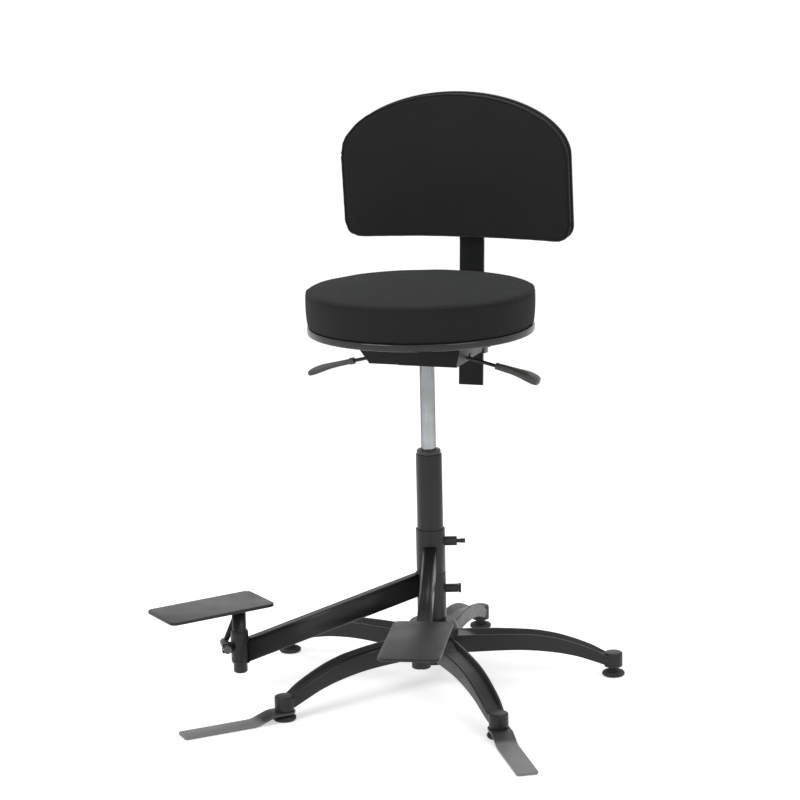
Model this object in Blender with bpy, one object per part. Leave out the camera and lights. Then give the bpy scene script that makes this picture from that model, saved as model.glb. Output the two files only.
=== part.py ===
"""Double bass stool, in metres, +Z up.

A padded round seat on a gas column, a curved backrest on a flat post, a five-legged base
with two floor bars, and two foot rests on arms that swing round the column.
"""

import math

import bmesh
import bpy
from mathutils import Matrix, Vector

# Fits
SEAT_GAP = 0.0003
RUN_GAP = 0.0004
OVERRUN = 0.010

# Place of the column's axis, measured from the middle of the footprint
COLUMN_X = 0.0623
COLUMN_Y = 0.0684

# Round counts
FINE_SEGMENTS = 32
POST_SEGMENTS = 24
ROUND_SEGMENTS = 20
FOOT_SEGMENTS = 16
SMALL_SEGMENTS = 12
EDGE_STEPS = 1
SHARP_ANGLE = math.radians(32.0)

# Star base
LEG_COUNT = 5
FIRST_LEG_ANGLE = math.radians(18.0)
GLIDE_CIRCLE = 0.350
HUB_RADIUS = 0.050
HUB_TOP_RADIUS = 0.043
HUB_TOP = 0.1210
HUB_SHOULDER = 0.1100
HUB_FLOOR_TOP = 0.0500
HUB_BOTTOM = 0.0450
HUB_HOLE_RADIUS = 0.0120
HUB_CHAMFER = 0.0030
LEG_CROWN = 0.0958
LEG_ROOT_WIDTH = 0.0500
LEG_RIM = 0.0052
LEG_GROOVE_DEPTH = 0.0090
LEG_GROOVE_SLOPE = 0.0030
LEG_EDGE = 0.0024
# Reach as a share of the glide circle, top and underside as shares of the crown,
# width as a share of the root width, groove as a share of its full depth
LEG_SHARES = (
    (0.103, 1.000, 0.632, 1.00, 0.05),
    (0.190, 1.000, 0.633, 0.99, 0.20),
    (0.260, 0.999, 0.637, 0.96, 1.00),
    (0.374, 0.993, 0.642, 0.92, 1.00),
    (0.480, 0.975, 0.636, 0.88, 1.00),
    (0.590, 0.938, 0.604, 0.85, 1.00),
    (0.700, 0.855, 0.545, 0.82, 1.00),
    (0.800, 0.735, 0.458, 0.79, 1.00),
    (0.890, 0.598, 0.343, 0.76, 0.80),
    (0.980, 0.436, 0.224, 0.66, 0.10),
)
BOSS_RADIUS = 0.0180
BOSS_TOP = 0.0470
BOSS_CHAMFER = 0.0030

# Glides, their lock nuts and the floor bars that two of them hold
STEM_RADIUS = 0.0050
GLIDE_RADIUS = 0.0220
GLIDE_PAD = 0.0085
GLIDE_ROUND = 0.0025
GLIDE_DOME = 0.0016
NECK_RADIUS = 0.0100
NECK_TOP = 0.0132
NUT_RADIUS = 0.0098
NUT_SIDES = 6
BAR_THICKNESS = 0.0050
BAR_WIDTH = 0.0400
BAR_INNER = 0.0200
BAR_BEND = 0.0270
BAR_RAMP = 0.0345
BAR_REACH = 0.2040
BAR_CLEARANCE = 0.0010
BAR_CORNER = 0.0040
BAR_END_STEPS = 6
BAR_END_SHARE = 0.90
LEFT_BAR_LEG = 3
RIGHT_BAR_LEG = 4
LEFT_BAR_ANGLE = math.radians(-137.5)
RIGHT_BAR_ANGLE = math.radians(-61.0)

# Column tube, guide bush and gas spring
TUBE_RADIUS = 0.0250
TUBE_WALL = 0.0025
TUBE_FLOOR = 0.0040
TUBE_TOP = 0.4520
BUSH_LENGTH = 0.0720
BUSH_COLLAR_RADIUS = 0.0230
BUSH_COLLAR = 0.0083
BUSH_CHAMFER = 0.0016
CYLINDER_RADIUS = 0.0140
CYLINDER_BORE = 0.0120
CYLINDER_LENGTH = 0.3278
CYLINDER_CAVITY = 0.2700
CYLINDER_GUIDE = 0.0250
ROD_RADIUS = 0.0050
ROD_END_RADIUS = 0.0040
ROD_END = 0.0460
PISTON_RISE = 0.1300
PISTON_RADIUS = 0.0113
PISTON_HEIGHT = 0.0120
BEARING_RADIUS = 0.0180
BEARING_HEIGHT = 0.0040
CLIP_RADIUS = 0.0090
CLIP_HEIGHT = 0.0025
BUTTON_RADIUS = 0.0042
BUTTON_DEPTH = 0.0110
BUTTON_PROUD = 0.0082
BUTTON_POCKET = 0.0180

# Sleeves that turn on the column, with their plastic liners
LINER_WALL = 0.0007
LINER_FLANGE_RADIUS = 0.0272
LINER_FLANGE = 0.0020
SLEEVE_RADIUS = 0.0280
SLEEVE_TAPER = 0.0100
SLEEVE_BOTTOM_RADIUS = 0.0268
LOWER_SLEEVE_HEIGHT = 0.0957
UPPER_SLEEVE_HEIGHT = 0.0831
SCREW_SIDE = math.radians(16.6)
SCREW_RADIUS = 0.0040
LOWER_SCREW_DROP = 0.0343
LOWER_SCREW_BOSS_RADIUS = 0.0083
LOWER_SCREW_BOSS_REACH = 0.0515
LOWER_SCREW_HEAD_RADIUS = 0.0095
LOWER_SCREW_REACH = 0.0570
UPPER_PIN_DROP = 0.0260
UPPER_PIN_BOSS_RADIUS = 0.0090
UPPER_PIN_BOSS_REACH = 0.0505
UPPER_PIN_REACH = 0.0665
UPPER_PIN_END = 0.0010

# Foot rest arms, the same section on both
ARM_HEIGHT = 0.0437
ARM_WIDTH = 0.0250
ARM_WALL = 0.0025
ARM_CORNER = 0.0060
ARM_SLOPE = math.radians(17.2)
ARM_CORNER_STEPS = 3
LOWER_ARM_ANGLE = math.radians(-152.0)
LOWER_ARM_LENGTH = 0.3750
LOWER_ARM_ROOT = 0.1950
UPPER_ARM_ANGLE = math.radians(-77.0)
UPPER_ARM_LENGTH = 0.3380
UPPER_ARM_ROOT = 0.2520

# Clamp sleeve at each arm's end, with its bush, bolt and lever
END_SLEEVE_RADIUS = 0.0170
END_SLEEVE_WALL = 0.0020
END_SLEEVE_HEIGHT = 0.0600
END_SLEEVE_DROP = 0.0175
END_BUSH_WALL = 0.0009
END_BUSH_FLANGE = 0.0160
END_BUSH_FLANGE_HEIGHT = 0.0014
SLIT_WIDTH = 0.0020
EAR_THICKNESS = 0.0060
EAR_REACH = 0.0340
EAR_HEIGHT = 0.0180
BOLT_OFFSET = 0.0255
BOLT_DROP = 0.0310
BOLT_RADIUS = 0.0035
BOLT_HEAD_RADIUS = 0.0078
BOLT_HEAD = 0.0110
BOLT_TAIL = 0.0400
LEVER_HUB_RADIUS = 0.0085
LEVER_HUB_LENGTH = 0.0300
LEVER_LENGTH = 0.0600
LEVER_ROOT_WIDTH = 0.0100
LEVER_TIP_WIDTH = 0.0130
LEVER_THICKNESS = 0.0070
LEVER_EDGE = 0.0018
LEVER_LIFT = 0.0190
LOWER_LEVER_ANGLE = math.radians(-25.0)
UPPER_LEVER_ANGLE = math.radians(-90.0)

# Posts and foot plates, their heights measured from the foot of the clamp sleeve
POST_RADIUS = 0.01345
POST_WALL = 0.0025
POST_ROUND = 0.0020
LOWER_POST_REACH = -0.0210
UPPER_POST_REACH = 0.0010
LOWER_PLATE_RISE = 0.1130
UPPER_PLATE_RISE = 0.0642
PLATE_THICKNESS = 0.0060
PLATE_LENGTH = 0.2200
PLATE_WIDTH = 0.1100
PLATE_CORNER = 0.0130
PLATE_CORNER_STEPS = 5
PLATE_EDGE = 0.0010
LOWER_PLATE_INSET = 0.0520
UPPER_PLATE_INSET = 0.0500
LOWER_PLATE_ANGLE = math.radians(-131.0)
UPPER_PLATE_ANGLE = math.radians(-81.0)

# Seat mechanism, in the seat's own frame: forward is -Y. HOUSING_TOP sets the height of the
# seat, and the drops and rises place the rest of the mechanism and the backrest from it
SEAT_TURN = math.radians(-2.4)
HOUSING_TOP = 0.6920
HOUSING_LEFT = 0.1180
HOUSING_RIGHT = 0.0900
HOUSING_FRONT = 0.0750
HOUSING_BACK = 0.0800
HOUSING_WALL = 0.0030
HOUSING_DEPTH = 0.0545
SHOULDER_DROP = 0.0240
HOUSING_TAPER = 0.0070
HOUSING_LEFT_TAPER = 0.0300
STEP_LEFT = 0.0400
STEP_RIGHT = 0.0760
STEP_FRONT = 0.0500
STEP_DEPTH = 0.0060
SOCKET_RADIUS = 0.0220
SOCKET_DROP = 0.0640
CYLINDER_DROP = 0.0442
SEAT_PLATE_LENGTH = 0.2200
SEAT_PLATE_WIDTH = 0.2300
SEAT_PLATE_THICKNESS = 0.0030
SEAT_PLATE_CORNER = 0.0150
SEAT_PLATE_CORNER_STEPS = 3
SEAT_BOLT_END_INSET = 0.0200
SEAT_BOLT_RADIUS = 0.0030
SEAT_BOLT_HEAD_RADIUS = 0.0065
SEAT_BOLT_HEAD = 0.0045
SEAT_BOLT_DEPTH = 0.0075

# Levers under the seat
ROD_LEVER_RADIUS = 0.0035
LEVER_PIVOT = 0.0600
LEVER_PIVOT_DROP = 0.0455
LEVER_SLOPE = math.radians(13.5)
LEVER_INNER = 0.0620
BACK_LEVER_INNER = 0.0300
LEVER_ROD_REACH = 0.1250
LEVER_PIN_RADIUS = 0.0030
LEVER_CHEEK = 0.0030
LEVER_CHEEK_GAP = 0.0045
LEVER_CHEEK_HALF = 0.0075
LEVER_CHEEK_RISE = 0.0070
LEVER_SLOT_HALF = 0.0055
LEVER_SLOT_LOW = 0.0045
LEVER_SLOT_HIGH = 0.0110
HEIGHT_GRIP_START = 0.0965
HEIGHT_GRIP_LENGTH = 0.0900
HEIGHT_GRIP_THICKNESS = 0.0100
BACK_GRIP_START = 0.0870
BACK_GRIP_LENGTH = 0.0810
BACK_GRIP_THICKNESS = 0.0130
GRIP_WIDTH = 0.0300
GRIP_DROOP = 0.0060
# Place along the grip, width, thickness and droop as shares of the full ones
GRIP_SHARES = (
    (0.00, 0.36, 1.00, 0.00),
    (0.10, 0.40, 1.05, 0.00),
    (0.30, 0.50, 1.00, 0.02),
    (0.50, 0.72, 0.92, 0.12),
    (0.70, 0.94, 0.90, 0.35),
    (0.86, 1.00, 0.88, 0.68),
    (0.95, 0.90, 0.74, 0.90),
    (1.00, 0.60, 0.40, 1.00),
)
GRIP_SIDES = 12

# Backrest bracket and post, on the tilt axis
TILT_BACK = 0.0620
TILT_DROP = 0.0400
TILT_PIN_RADIUS = 0.0050
TILT_CHEEK_INNER = 0.0340
TILT_CHEEK = 0.0040
TILT_CHEEK_HALF = 0.0100
TILT_CHEEK_RISE = 0.0120
EYE_RADIUS = 0.0105
EYE_HALF = 0.0320
BRACKET_WIDTH = 0.0540
BRACKET_THICKNESS = 0.0070
WINDOW_HALF = 0.0310
WINDOW_LOW = 0.0115
WINDOW_HIGH = 0.0120
POST_LEAN = math.radians(4.5)
POST_BACK = 0.2900
POST_RISE = 0.1080
BACK_POST_WIDTH = 0.0500
BACK_POST_THICKNESS = 0.0080
BACK_POST_DOWN = 0.2700
BACK_POST_UP = 0.1750
BACK_POST_CORNER = 0.0012
HOLDER_LOW = 0.2050
HOLDER_HIGH = 0.1600
HOLDER_HALF_WIDTH = 0.0310
HOLDER_HALF_DEPTH = 0.0115
KNOB_SCREW_RADIUS = 0.0030
KNOB_RADIUS = 0.0110
KNOB_THICKNESS = 0.0080

# Backrest shell and pad, on the upper part of the post, which bends forward behind them
PAD_BEND = 0.0150
PAD_TILT = math.radians(10.0)
PAD_SIDE = -0.0110
BACK_HALF_WIDTH = 0.2350
BACK_LOW = 0.0170
BACK_HEIGHT = 0.2885
BACK_DOME = 0.1185
BACK_CORNER = 0.0300
BACK_WRAP_RADIUS = 1.0000
SHELL_THICKNESS = 0.0090
PAD_THICKNESS = 0.0400
DOME_STEPS = 18
CORNER_STEPS = 4
SIDE_STEPS = 2
BOTTOM_STEPS = 8
# Rings of the shell and pad: size of the ring and its place through the thickness
SHELL_RING_SHARES = ((0.0, 0.0), (0.40, 0.0), (0.72, 0.0), (0.90, 0.0), (0.970, 0.05), (0.985, 0.50),
                     (0.975, 1.0), (0.90, 1.0), (0.72, 1.0), (0.40, 1.0), (0.0, 1.0))
PAD_RING_SHARES = ((0.0, 0.0), (0.40, 0.0), (0.72, 0.0), (0.90, 0.0), (0.975, 0.0), (0.994, 0.08),
                   (1.0, 0.24), (0.994, 0.42), (0.968, 0.60), (0.91, 0.76), (0.80, 0.88),
                   (0.62, 0.95), (0.36, 0.99), (0.0, 1.0))
BACK_SCREW_PLACES = (0.085, 0.145)
BACK_SCREW_RADIUS = 0.0030
BACK_SCREW_HEAD_RADIUS = 0.0070
BACK_SCREW_HEAD = 0.0040
BACK_SCREW_DEPTH = 0.0055

# Seat board, edge trim and cushion
SEAT_FORWARD = 0.0300
BOARD_RADIUS = 0.2050
BOARD_THICKNESS = 0.0120
TRIM_WIDTH = 0.0085
TRIM_BEAD = 0.0028
CUSHION_RADIUS = 0.2175
CUSHION_HEIGHT = 0.0770
CUSHION_SEGMENTS = 48
# Reach as a share of the radius and height as a share of the cushion's height
CUSHION_SHARES = ((0.0, 0.0), (0.900, 0.0), (0.966, 0.0), (0.972, 0.045), (0.978, 0.12),
                  (0.986, 0.28), (0.996, 0.50), (1.000, 0.63), (0.994, 0.74), (0.974, 0.825),
                  (0.935, 0.885), (0.86, 0.930), (0.72, 0.966), (0.50, 0.990), (0.25, 0.998),
                  (0.0, 1.0))

# Places that follow from the sizes above
TUBE_BOTTOM = HUB_FLOOR_TOP + SEAT_GAP
TUBE_INNER = TUBE_RADIUS - TUBE_WALL
BEARING_BOTTOM = TUBE_BOTTOM + TUBE_FLOOR + SEAT_GAP
ROD_SHOULDER = BEARING_BOTTOM + BEARING_HEIGHT + SEAT_GAP
BAR_TOP = NECK_TOP + SEAT_GAP + BAR_THICKNESS
BOSS_BOTTOM = BAR_TOP + SEAT_GAP
LINER_INNER = TUBE_RADIUS + RUN_GAP
LINER_OUTER = LINER_INNER + LINER_WALL
SLEEVE_BORE = LINER_OUTER + RUN_GAP
LOWER_SLEEVE_BOTTOM = HUB_TOP + LINER_FLANGE + SEAT_GAP * 2
LOWER_SLEEVE_TOP = LOWER_SLEEVE_BOTTOM + LOWER_SLEEVE_HEIGHT
UPPER_LINER_BOTTOM = LOWER_SLEEVE_TOP + SEAT_GAP
UPPER_SLEEVE_BOTTOM = UPPER_LINER_BOTTOM + LINER_FLANGE + SEAT_GAP
UPPER_SLEEVE_TOP = UPPER_SLEEVE_BOTTOM + UPPER_SLEEVE_HEIGHT
END_BUSH_OUTER = POST_RADIUS + RUN_GAP + END_BUSH_WALL
END_SLEEVE_BORE = END_SLEEVE_RADIUS - END_SLEEVE_WALL
LOWER_ARM_FALL = math.tan(ARM_SLOPE) * (LOWER_ARM_LENGTH - SLEEVE_RADIUS)
LOWER_END_BOTTOM = LOWER_ARM_ROOT - LOWER_ARM_FALL - END_SLEEVE_DROP
LOWER_POST_BOTTOM = LOWER_END_BOTTOM + LOWER_POST_REACH
LOWER_PLATE_BOTTOM = LOWER_END_BOTTOM + LOWER_PLATE_RISE
UPPER_ARM_FALL = math.tan(ARM_SLOPE) * (UPPER_ARM_LENGTH - SLEEVE_RADIUS)
UPPER_END_BOTTOM = UPPER_ARM_ROOT - UPPER_ARM_FALL - END_SLEEVE_DROP
UPPER_POST_BOTTOM = UPPER_END_BOTTOM + UPPER_POST_REACH
UPPER_PLATE_BOTTOM = UPPER_END_BOTTOM + UPPER_PLATE_RISE
HOUSING_FLOOR = HOUSING_TOP - HOUSING_DEPTH
HOUSING_SHOULDER = HOUSING_TOP - SHOULDER_DROP
STEP_BOTTOM = HOUSING_FLOOR - STEP_DEPTH
SOCKET_BOTTOM = HOUSING_TOP - SOCKET_DROP
CYLINDER_TOP = HOUSING_TOP - CYLINDER_DROP
CYLINDER_BOTTOM = CYLINDER_TOP - CYLINDER_LENGTH
ROD_TOP = CYLINDER_BOTTOM + PISTON_RISE
LEVER_PIVOT_HEIGHT = HOUSING_TOP - LEVER_PIVOT_DROP
TILT_HEIGHT = HOUSING_TOP - TILT_DROP
POST_REFERENCE = HOUSING_TOP + POST_RISE
SEAT_BOLT_X = SEAT_PLATE_LENGTH / 2 - SEAT_BOLT_END_INSET
SEAT_BOLT_Y = (SEAT_PLATE_WIDTH / 2 + HOUSING_BACK) / 2
SEAT_PLATE_BOTTOM = HOUSING_TOP + SEAT_GAP
BOARD_BOTTOM = SEAT_PLATE_BOTTOM + SEAT_PLATE_THICKNESS + SEAT_GAP
BOARD_TOP = BOARD_BOTTOM + BOARD_THICKNESS
CUSHION_BOTTOM = BOARD_TOP + SEAT_GAP
BACK_POST_FACE = BACK_POST_THICKNESS / 2
SHELL_BACK = BACK_POST_FACE + SEAT_GAP
PAD_BACK = SHELL_BACK + SHELL_THICKNESS + SEAT_GAP

# Finishes: colour, roughness, metallic
BLACK_COAT = ((0.045, 0.047, 0.045), 0.42, 0.0)
BAR_COAT = ((0.090, 0.092, 0.088), 0.38, 0.2)
CHROME = ((0.60, 0.62, 0.63), 0.12, 1.0)
STEEL = ((0.45, 0.46, 0.46), 0.30, 1.0)
BLACK_STEEL = ((0.060, 0.062, 0.060), 0.35, 0.6)
BLACK_PLASTIC = ((0.030, 0.032, 0.031), 0.50, 0.0)
GREY_PLASTIC = ((0.100, 0.105, 0.102), 0.45, 0.0)
RUBBER = ((0.020, 0.020, 0.020), 0.80, 0.0)
GLOSS_TRIM = ((0.020, 0.021, 0.020), 0.18, 0.0)
PLYWOOD = ((0.36, 0.25, 0.15), 0.60, 0.0)
FABRIC = ((0.020, 0.021, 0.020), 0.95, 0.0)


def clear_scene():
    for old in list(bpy.data.objects):
        bpy.data.objects.remove(old, do_unlink=True)


# Mesh makers


def closed_mesh(shape):
    """Ends a bmesh as a mesh with its faces turned outward and round sides smooth."""
    bmesh.ops.recalc_face_normals(shape, faces=shape.faces)
    mesh = bpy.data.meshes.new("shape")
    shape.to_mesh(mesh)
    shape.free()
    mesh.shade_smooth()
    mesh.set_sharp_from_angle(angle=SHARP_ANGLE)
    return mesh


def bridge(shape, first, second):
    """Faces between two closed loops; a loop of one vertex is a point on the axis."""
    count = max(len(first), len(second))
    if count == 1:
        return
    for step in range(count):
        following = step + 1
        corners = (
            first[step % len(first)],
            first[following % len(first)],
            second[following % len(second)],
            second[step % len(second)],
        )
        shape.faces.new(list(dict.fromkeys(corners)))


def turned(profile, segments):
    """A closed outline of (radius, height) points, turned round Z."""
    shape = bmesh.new()
    rings = []
    for radius, height in profile:
        steps = segments if radius > 0 else 1
        ring = []
        for step in range(steps):
            angle = math.tau * step / segments
            point = (radius * math.cos(angle), radius * math.sin(angle), height)
            ring.append(shape.verts.new(point))
        rings.append(ring)
    for index, ring in enumerate(rings):
        bridge(shape, rings[index - 1], ring)
    return closed_mesh(shape)


def lofted(sections):
    """A skin over matching sections, closed by the first and last one."""
    shape = bmesh.new()
    loops = []
    for section in sections:
        loops.append([shape.verts.new(point) for point in section])
    for first, second in zip(loops, loops[1:]):
        bridge(shape, first, second)
    shape.faces.new(loops[0])
    shape.faces.new(loops[-1])
    return closed_mesh(shape)


def ring(inner, outer, bottom, top, segments):
    profile = [(inner, bottom), (outer, bottom), (outer, top), (inner, top)]
    return turned(profile, segments)


def prism(outline, bottom, top):
    """A flat outline raised between two heights."""
    low = [(x, y, bottom) for x, y in outline]
    high = [(x, y, top) for x, y in outline]
    return lofted([low, high])


def cylinder(radius, bottom, top, segments):
    outline = []
    for step in range(segments):
        angle = math.tau * step / segments
        outline.append((radius * math.cos(angle), radius * math.sin(angle)))
    return prism(outline, bottom, top)


def box(low, high):
    outline = [(low[0], low[1]), (high[0], low[1]), (high[0], high[1]), (low[0], high[1])]
    return prism(outline, low[2], high[2])


def rounded_outline(low, high, radius, steps):
    """A rectangle between two corners with rounded corners."""
    centres = (
        (high[0] - radius, high[1] - radius),
        (low[0] + radius, high[1] - radius),
        (low[0] + radius, low[1] + radius),
        (high[0] - radius, low[1] + radius),
    )
    points = []
    for quarter, (x, y) in enumerate(centres):
        for step in range(steps + 1):
            angle = math.pi / 2 * (quarter + step / steps)
            points.append((x + radius * math.cos(angle), y + radius * math.sin(angle)))
    return points


def along_x(mesh):
    """Turns a mesh made round Z so that it lies round X."""
    mesh.transform(Matrix.Rotation(math.pi / 2, 4, "Y"))
    return mesh


def along_y(mesh):
    """Turns a mesh made round Z so that it lies round Y, its top toward -Y."""
    mesh.transform(Matrix.Rotation(math.pi / 2, 4, "X"))
    return mesh


def moved(mesh, offset):
    mesh.transform(Matrix.Translation(Vector(offset)))
    return mesh


def spun(mesh, angle):
    mesh.transform(Matrix.Rotation(angle, 4, "Z"))
    return mesh


def gathered(meshes):
    """Several closed bodies in one mesh, for use as one tool."""
    shape = bmesh.new()
    for mesh in meshes:
        shape.from_mesh(mesh)
    return closed_mesh(shape)


# Objects


def frame(name, parent, location=(0, 0, 0), rotation=(0, 0, 0)):
    empty = bpy.data.objects.new(name, None)
    bpy.context.collection.objects.link(empty)
    empty.parent = parent
    empty.location = location
    empty.rotation_euler = rotation
    return empty


def piece(name, mesh, finish, parent, location=(0, 0, 0), rotation=(0, 0, 0)):
    """One named sub-part with its own material."""
    colour, roughness, metallic = finish
    material = bpy.data.materials.new(name + "_finish")
    material.use_nodes = True
    shader = material.node_tree.nodes["Principled BSDF"]
    shader.inputs["Base Color"].default_value = (*colour, 1.0)
    shader.inputs["Roughness"].default_value = roughness
    shader.inputs["Metallic"].default_value = metallic
    mesh.name = name
    mesh.materials.clear()
    mesh.materials.append(material)
    made = bpy.data.objects.new(name, mesh)
    bpy.context.collection.objects.link(made)
    made.parent = parent
    made.location = location
    made.rotation_euler = rotation
    return made


def tool(target, mesh, operation, parent=None):
    """A hidden solid that is added to the target or cut from it."""
    count = len(target.modifiers)
    helper = bpy.data.objects.new(f"{target.name}_tool_{count}", mesh)
    bpy.context.collection.objects.link(helper)
    if parent is None:
        helper.parent = target.parent
        helper.location = target.location
        helper.rotation_euler = target.rotation_euler
    else:
        helper.parent = parent
    helper.hide_render = True
    helper.display_type = "WIRE"
    step = target.modifiers.new(helper.name, "BOOLEAN")
    step.operation = operation
    step.object = helper
    step.solver = "EXACT"


def add(target, mesh, parent=None):
    tool(target, mesh, "UNION", parent)


def cut(target, mesh, parent=None):
    tool(target, mesh, "DIFFERENCE", parent)


# Base


def leg_angle(index):
    return FIRST_LEG_ANGLE + math.tau * index / LEG_COUNT


def leg_mesh(angle):
    """One arched leg with a groove between two raised rims, its root inside the hub."""
    sections = []
    for reach, top, under, width, groove in LEG_SHARES:
        x = GLIDE_CIRCLE * reach
        half = LEG_ROOT_WIDTH * width / 2
        high = LEG_CROWN * top
        low = LEG_CROWN * under
        inner = half - LEG_RIM
        floor = high - LEG_GROOVE_DEPTH * groove
        valley = inner - LEG_GROOVE_SLOPE
        side = [(half - LEG_EDGE, low), (half, high), (inner, high), (valley, floor)]
        section = [(x, y, z) for y, z in side]
        section += [(x, -y, z) for y, z in reversed(side)]
        sections.append(section)
    return spun(lofted(sections), angle)


def glide_place(index):
    angle = leg_angle(index)
    return (GLIDE_CIRCLE * math.cos(angle), GLIDE_CIRCLE * math.sin(angle), 0)


def boss_profile():
    return [
        (0, BOSS_BOTTOM),
        (BOSS_RADIUS, BOSS_BOTTOM),
        (BOSS_RADIUS, BOSS_TOP - BOSS_CHAMFER),
        (BOSS_RADIUS - BOSS_CHAMFER, BOSS_TOP),
        (0, BOSS_TOP),
    ]


def make_star_base(stool):
    hub = turned(
        [
            (HUB_HOLE_RADIUS, HUB_BOTTOM),
            (HUB_RADIUS - HUB_CHAMFER, HUB_BOTTOM),
            (HUB_RADIUS, HUB_BOTTOM + HUB_CHAMFER),
            (HUB_RADIUS, HUB_SHOULDER),
            (HUB_TOP_RADIUS, HUB_TOP),
            (TUBE_RADIUS + RUN_GAP, HUB_TOP),
            (TUBE_RADIUS + RUN_GAP, HUB_FLOOR_TOP),
            (HUB_HOLE_RADIUS, HUB_FLOOR_TOP),
        ],
        FINE_SEGMENTS,
    )
    base = piece("star_base", hub, BLACK_COAT, stool)
    legs = []
    bosses = []
    holes = []
    low = BOSS_BOTTOM - OVERRUN
    high = BOSS_TOP + OVERRUN
    for index in range(LEG_COUNT):
        place = glide_place(index)
        legs.append(leg_mesh(leg_angle(index)))
        bosses.append(moved(turned(boss_profile(), FOOT_SEGMENTS), place))
        holes.append(moved(cylinder(STEM_RADIUS + RUN_GAP, low, high, SMALL_SEGMENTS), place))
    add(base, gathered(legs))
    add(base, gathered(bosses))
    cut(base, gathered(holes))


def glide_profile():
    return [
        (0, 0),
        (GLIDE_RADIUS - GLIDE_ROUND, 0),
        (GLIDE_RADIUS, GLIDE_ROUND),
        (GLIDE_RADIUS, GLIDE_PAD - GLIDE_ROUND),
        (GLIDE_RADIUS - GLIDE_ROUND, GLIDE_PAD),
        (NECK_RADIUS, GLIDE_PAD + GLIDE_DOME),
        (NECK_RADIUS, NECK_TOP),
        (STEM_RADIUS, NECK_TOP),
        (STEM_RADIUS, BOSS_TOP - BOSS_CHAMFER),
        (0, BOSS_TOP - BOSS_CHAMFER),
    ]


def nut_mesh():
    """A hexagon with a round bore, between the glide's neck and the leg's boss."""
    shape = bmesh.new()
    low = NECK_TOP + SEAT_GAP
    high = BAR_TOP
    loops = []
    bore = STEM_RADIUS + RUN_GAP
    flat = NUT_RADIUS * math.cos(math.pi / NUT_SIDES)
    for radii, height in (
        ((bore, bore), low),
        ((NUT_RADIUS, flat), low),
        ((NUT_RADIUS, flat), high),
        ((bore, bore), high),
    ):
        loop = []
        for step in range(NUT_SIDES * 2):
            angle = math.pi * step / NUT_SIDES
            radius = radii[step % 2]
            loop.append(shape.verts.new((radius * math.cos(angle), radius * math.sin(angle), height)))
        loops.append(loop)
    for index, loop in enumerate(loops):
        bridge(shape, loops[index - 1], loop)
    return closed_mesh(shape)


def bar_mesh():
    """A flat bar along +X from the glide's stem: level, a ramp down, then level on the floor."""
    top_level = NECK_TOP + SEAT_GAP
    drop = top_level - BAR_CLEARANCE
    half = BAR_WIDTH / 2
    stations = []
    for step in range(1, BAR_END_STEPS + 1):
        turn = math.pi / 2 * step / BAR_END_STEPS
        stations.append((-BAR_INNER * math.cos(turn * BAR_END_SHARE), half * math.sin(turn), top_level))
    stations += [
        (BAR_BEND - BAR_CORNER, half, top_level),
        (BAR_BEND + BAR_CORNER, half, top_level - drop * BAR_CORNER / BAR_RAMP),
        (BAR_BEND + BAR_RAMP - BAR_CORNER, half, BAR_CLEARANCE + drop * BAR_CORNER / BAR_RAMP),
        (BAR_BEND + BAR_RAMP + BAR_CORNER, half, BAR_CLEARANCE),
        (BAR_REACH - BAR_CORNER, half, BAR_CLEARANCE),
        (BAR_REACH, half - BAR_CORNER, BAR_CLEARANCE),
    ]
    sections = []
    for x, y, z in stations:
        sections.append(
            [(x, -y, z), (x, y, z), (x, y, z + BAR_THICKNESS), (x, -y, z + BAR_THICKNESS)]
        )
    return lofted(sections)


def make_bar(name, stool, leg, angle):
    bar = piece(name, bar_mesh(), BAR_COAT, stool, glide_place(leg), (0, 0, angle))
    cut(bar, cylinder(STEM_RADIUS + RUN_GAP, 0, BAR_TOP + OVERRUN, SMALL_SEGMENTS))


def make_glides(stool):
    for index in range(LEG_COUNT):
        place = glide_place(index)
        turn = (0, 0, leg_angle(index))
        glide = turned(glide_profile(), FOOT_SEGMENTS)
        piece(f"glide_{index + 1}", glide, RUBBER, stool, place, turn)
        if index not in (LEFT_BAR_LEG, RIGHT_BAR_LEG):
            piece(f"glide_nut_{index + 1}", nut_mesh(), STEEL, stool, place, turn)
    make_bar("outrigger_left", stool, LEFT_BAR_LEG, LEFT_BAR_ANGLE)
    make_bar("outrigger_right", stool, RIGHT_BAR_LEG, RIGHT_BAR_ANGLE)


# Column and gas spring


def make_column(stool):
    rod_hole = ROD_END_RADIUS + RUN_GAP
    tube = turned(
        [
            (rod_hole, TUBE_BOTTOM),
            (TUBE_RADIUS, TUBE_BOTTOM),
            (TUBE_RADIUS, TUBE_TOP),
            (TUBE_INNER, TUBE_TOP),
            (TUBE_INNER, TUBE_BOTTOM + TUBE_FLOOR),
            (rod_hole, TUBE_BOTTOM + TUBE_FLOOR),
        ],
        FINE_SEGMENTS,
    )
    piece("column_tube", tube, BLACK_COAT, stool)
    bush_bore = CYLINDER_RADIUS + RUN_GAP
    bush_body = TUBE_INNER - RUN_GAP
    collar_bottom = TUBE_TOP + SEAT_GAP
    collar_top = collar_bottom + BUSH_COLLAR
    bush = turned(
        [
            (bush_bore, TUBE_TOP - BUSH_LENGTH),
            (bush_body, TUBE_TOP - BUSH_LENGTH),
            (bush_body, collar_bottom),
            (BUSH_COLLAR_RADIUS, collar_bottom),
            (BUSH_COLLAR_RADIUS, collar_top - BUSH_CHAMFER),
            (BUSH_COLLAR_RADIUS - BUSH_CHAMFER, collar_top),
            (bush_bore, collar_top),
        ],
        FINE_SEGMENTS,
    )
    piece("guide_bush", bush, BLACK_PLASTIC, stool)
    bearing_top = BEARING_BOTTOM + BEARING_HEIGHT
    bearing = ring(rod_hole, BEARING_RADIUS, BEARING_BOTTOM, bearing_top, ROUND_SEGMENTS)
    piece("thrust_bearing", bearing, STEEL, stool)


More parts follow.
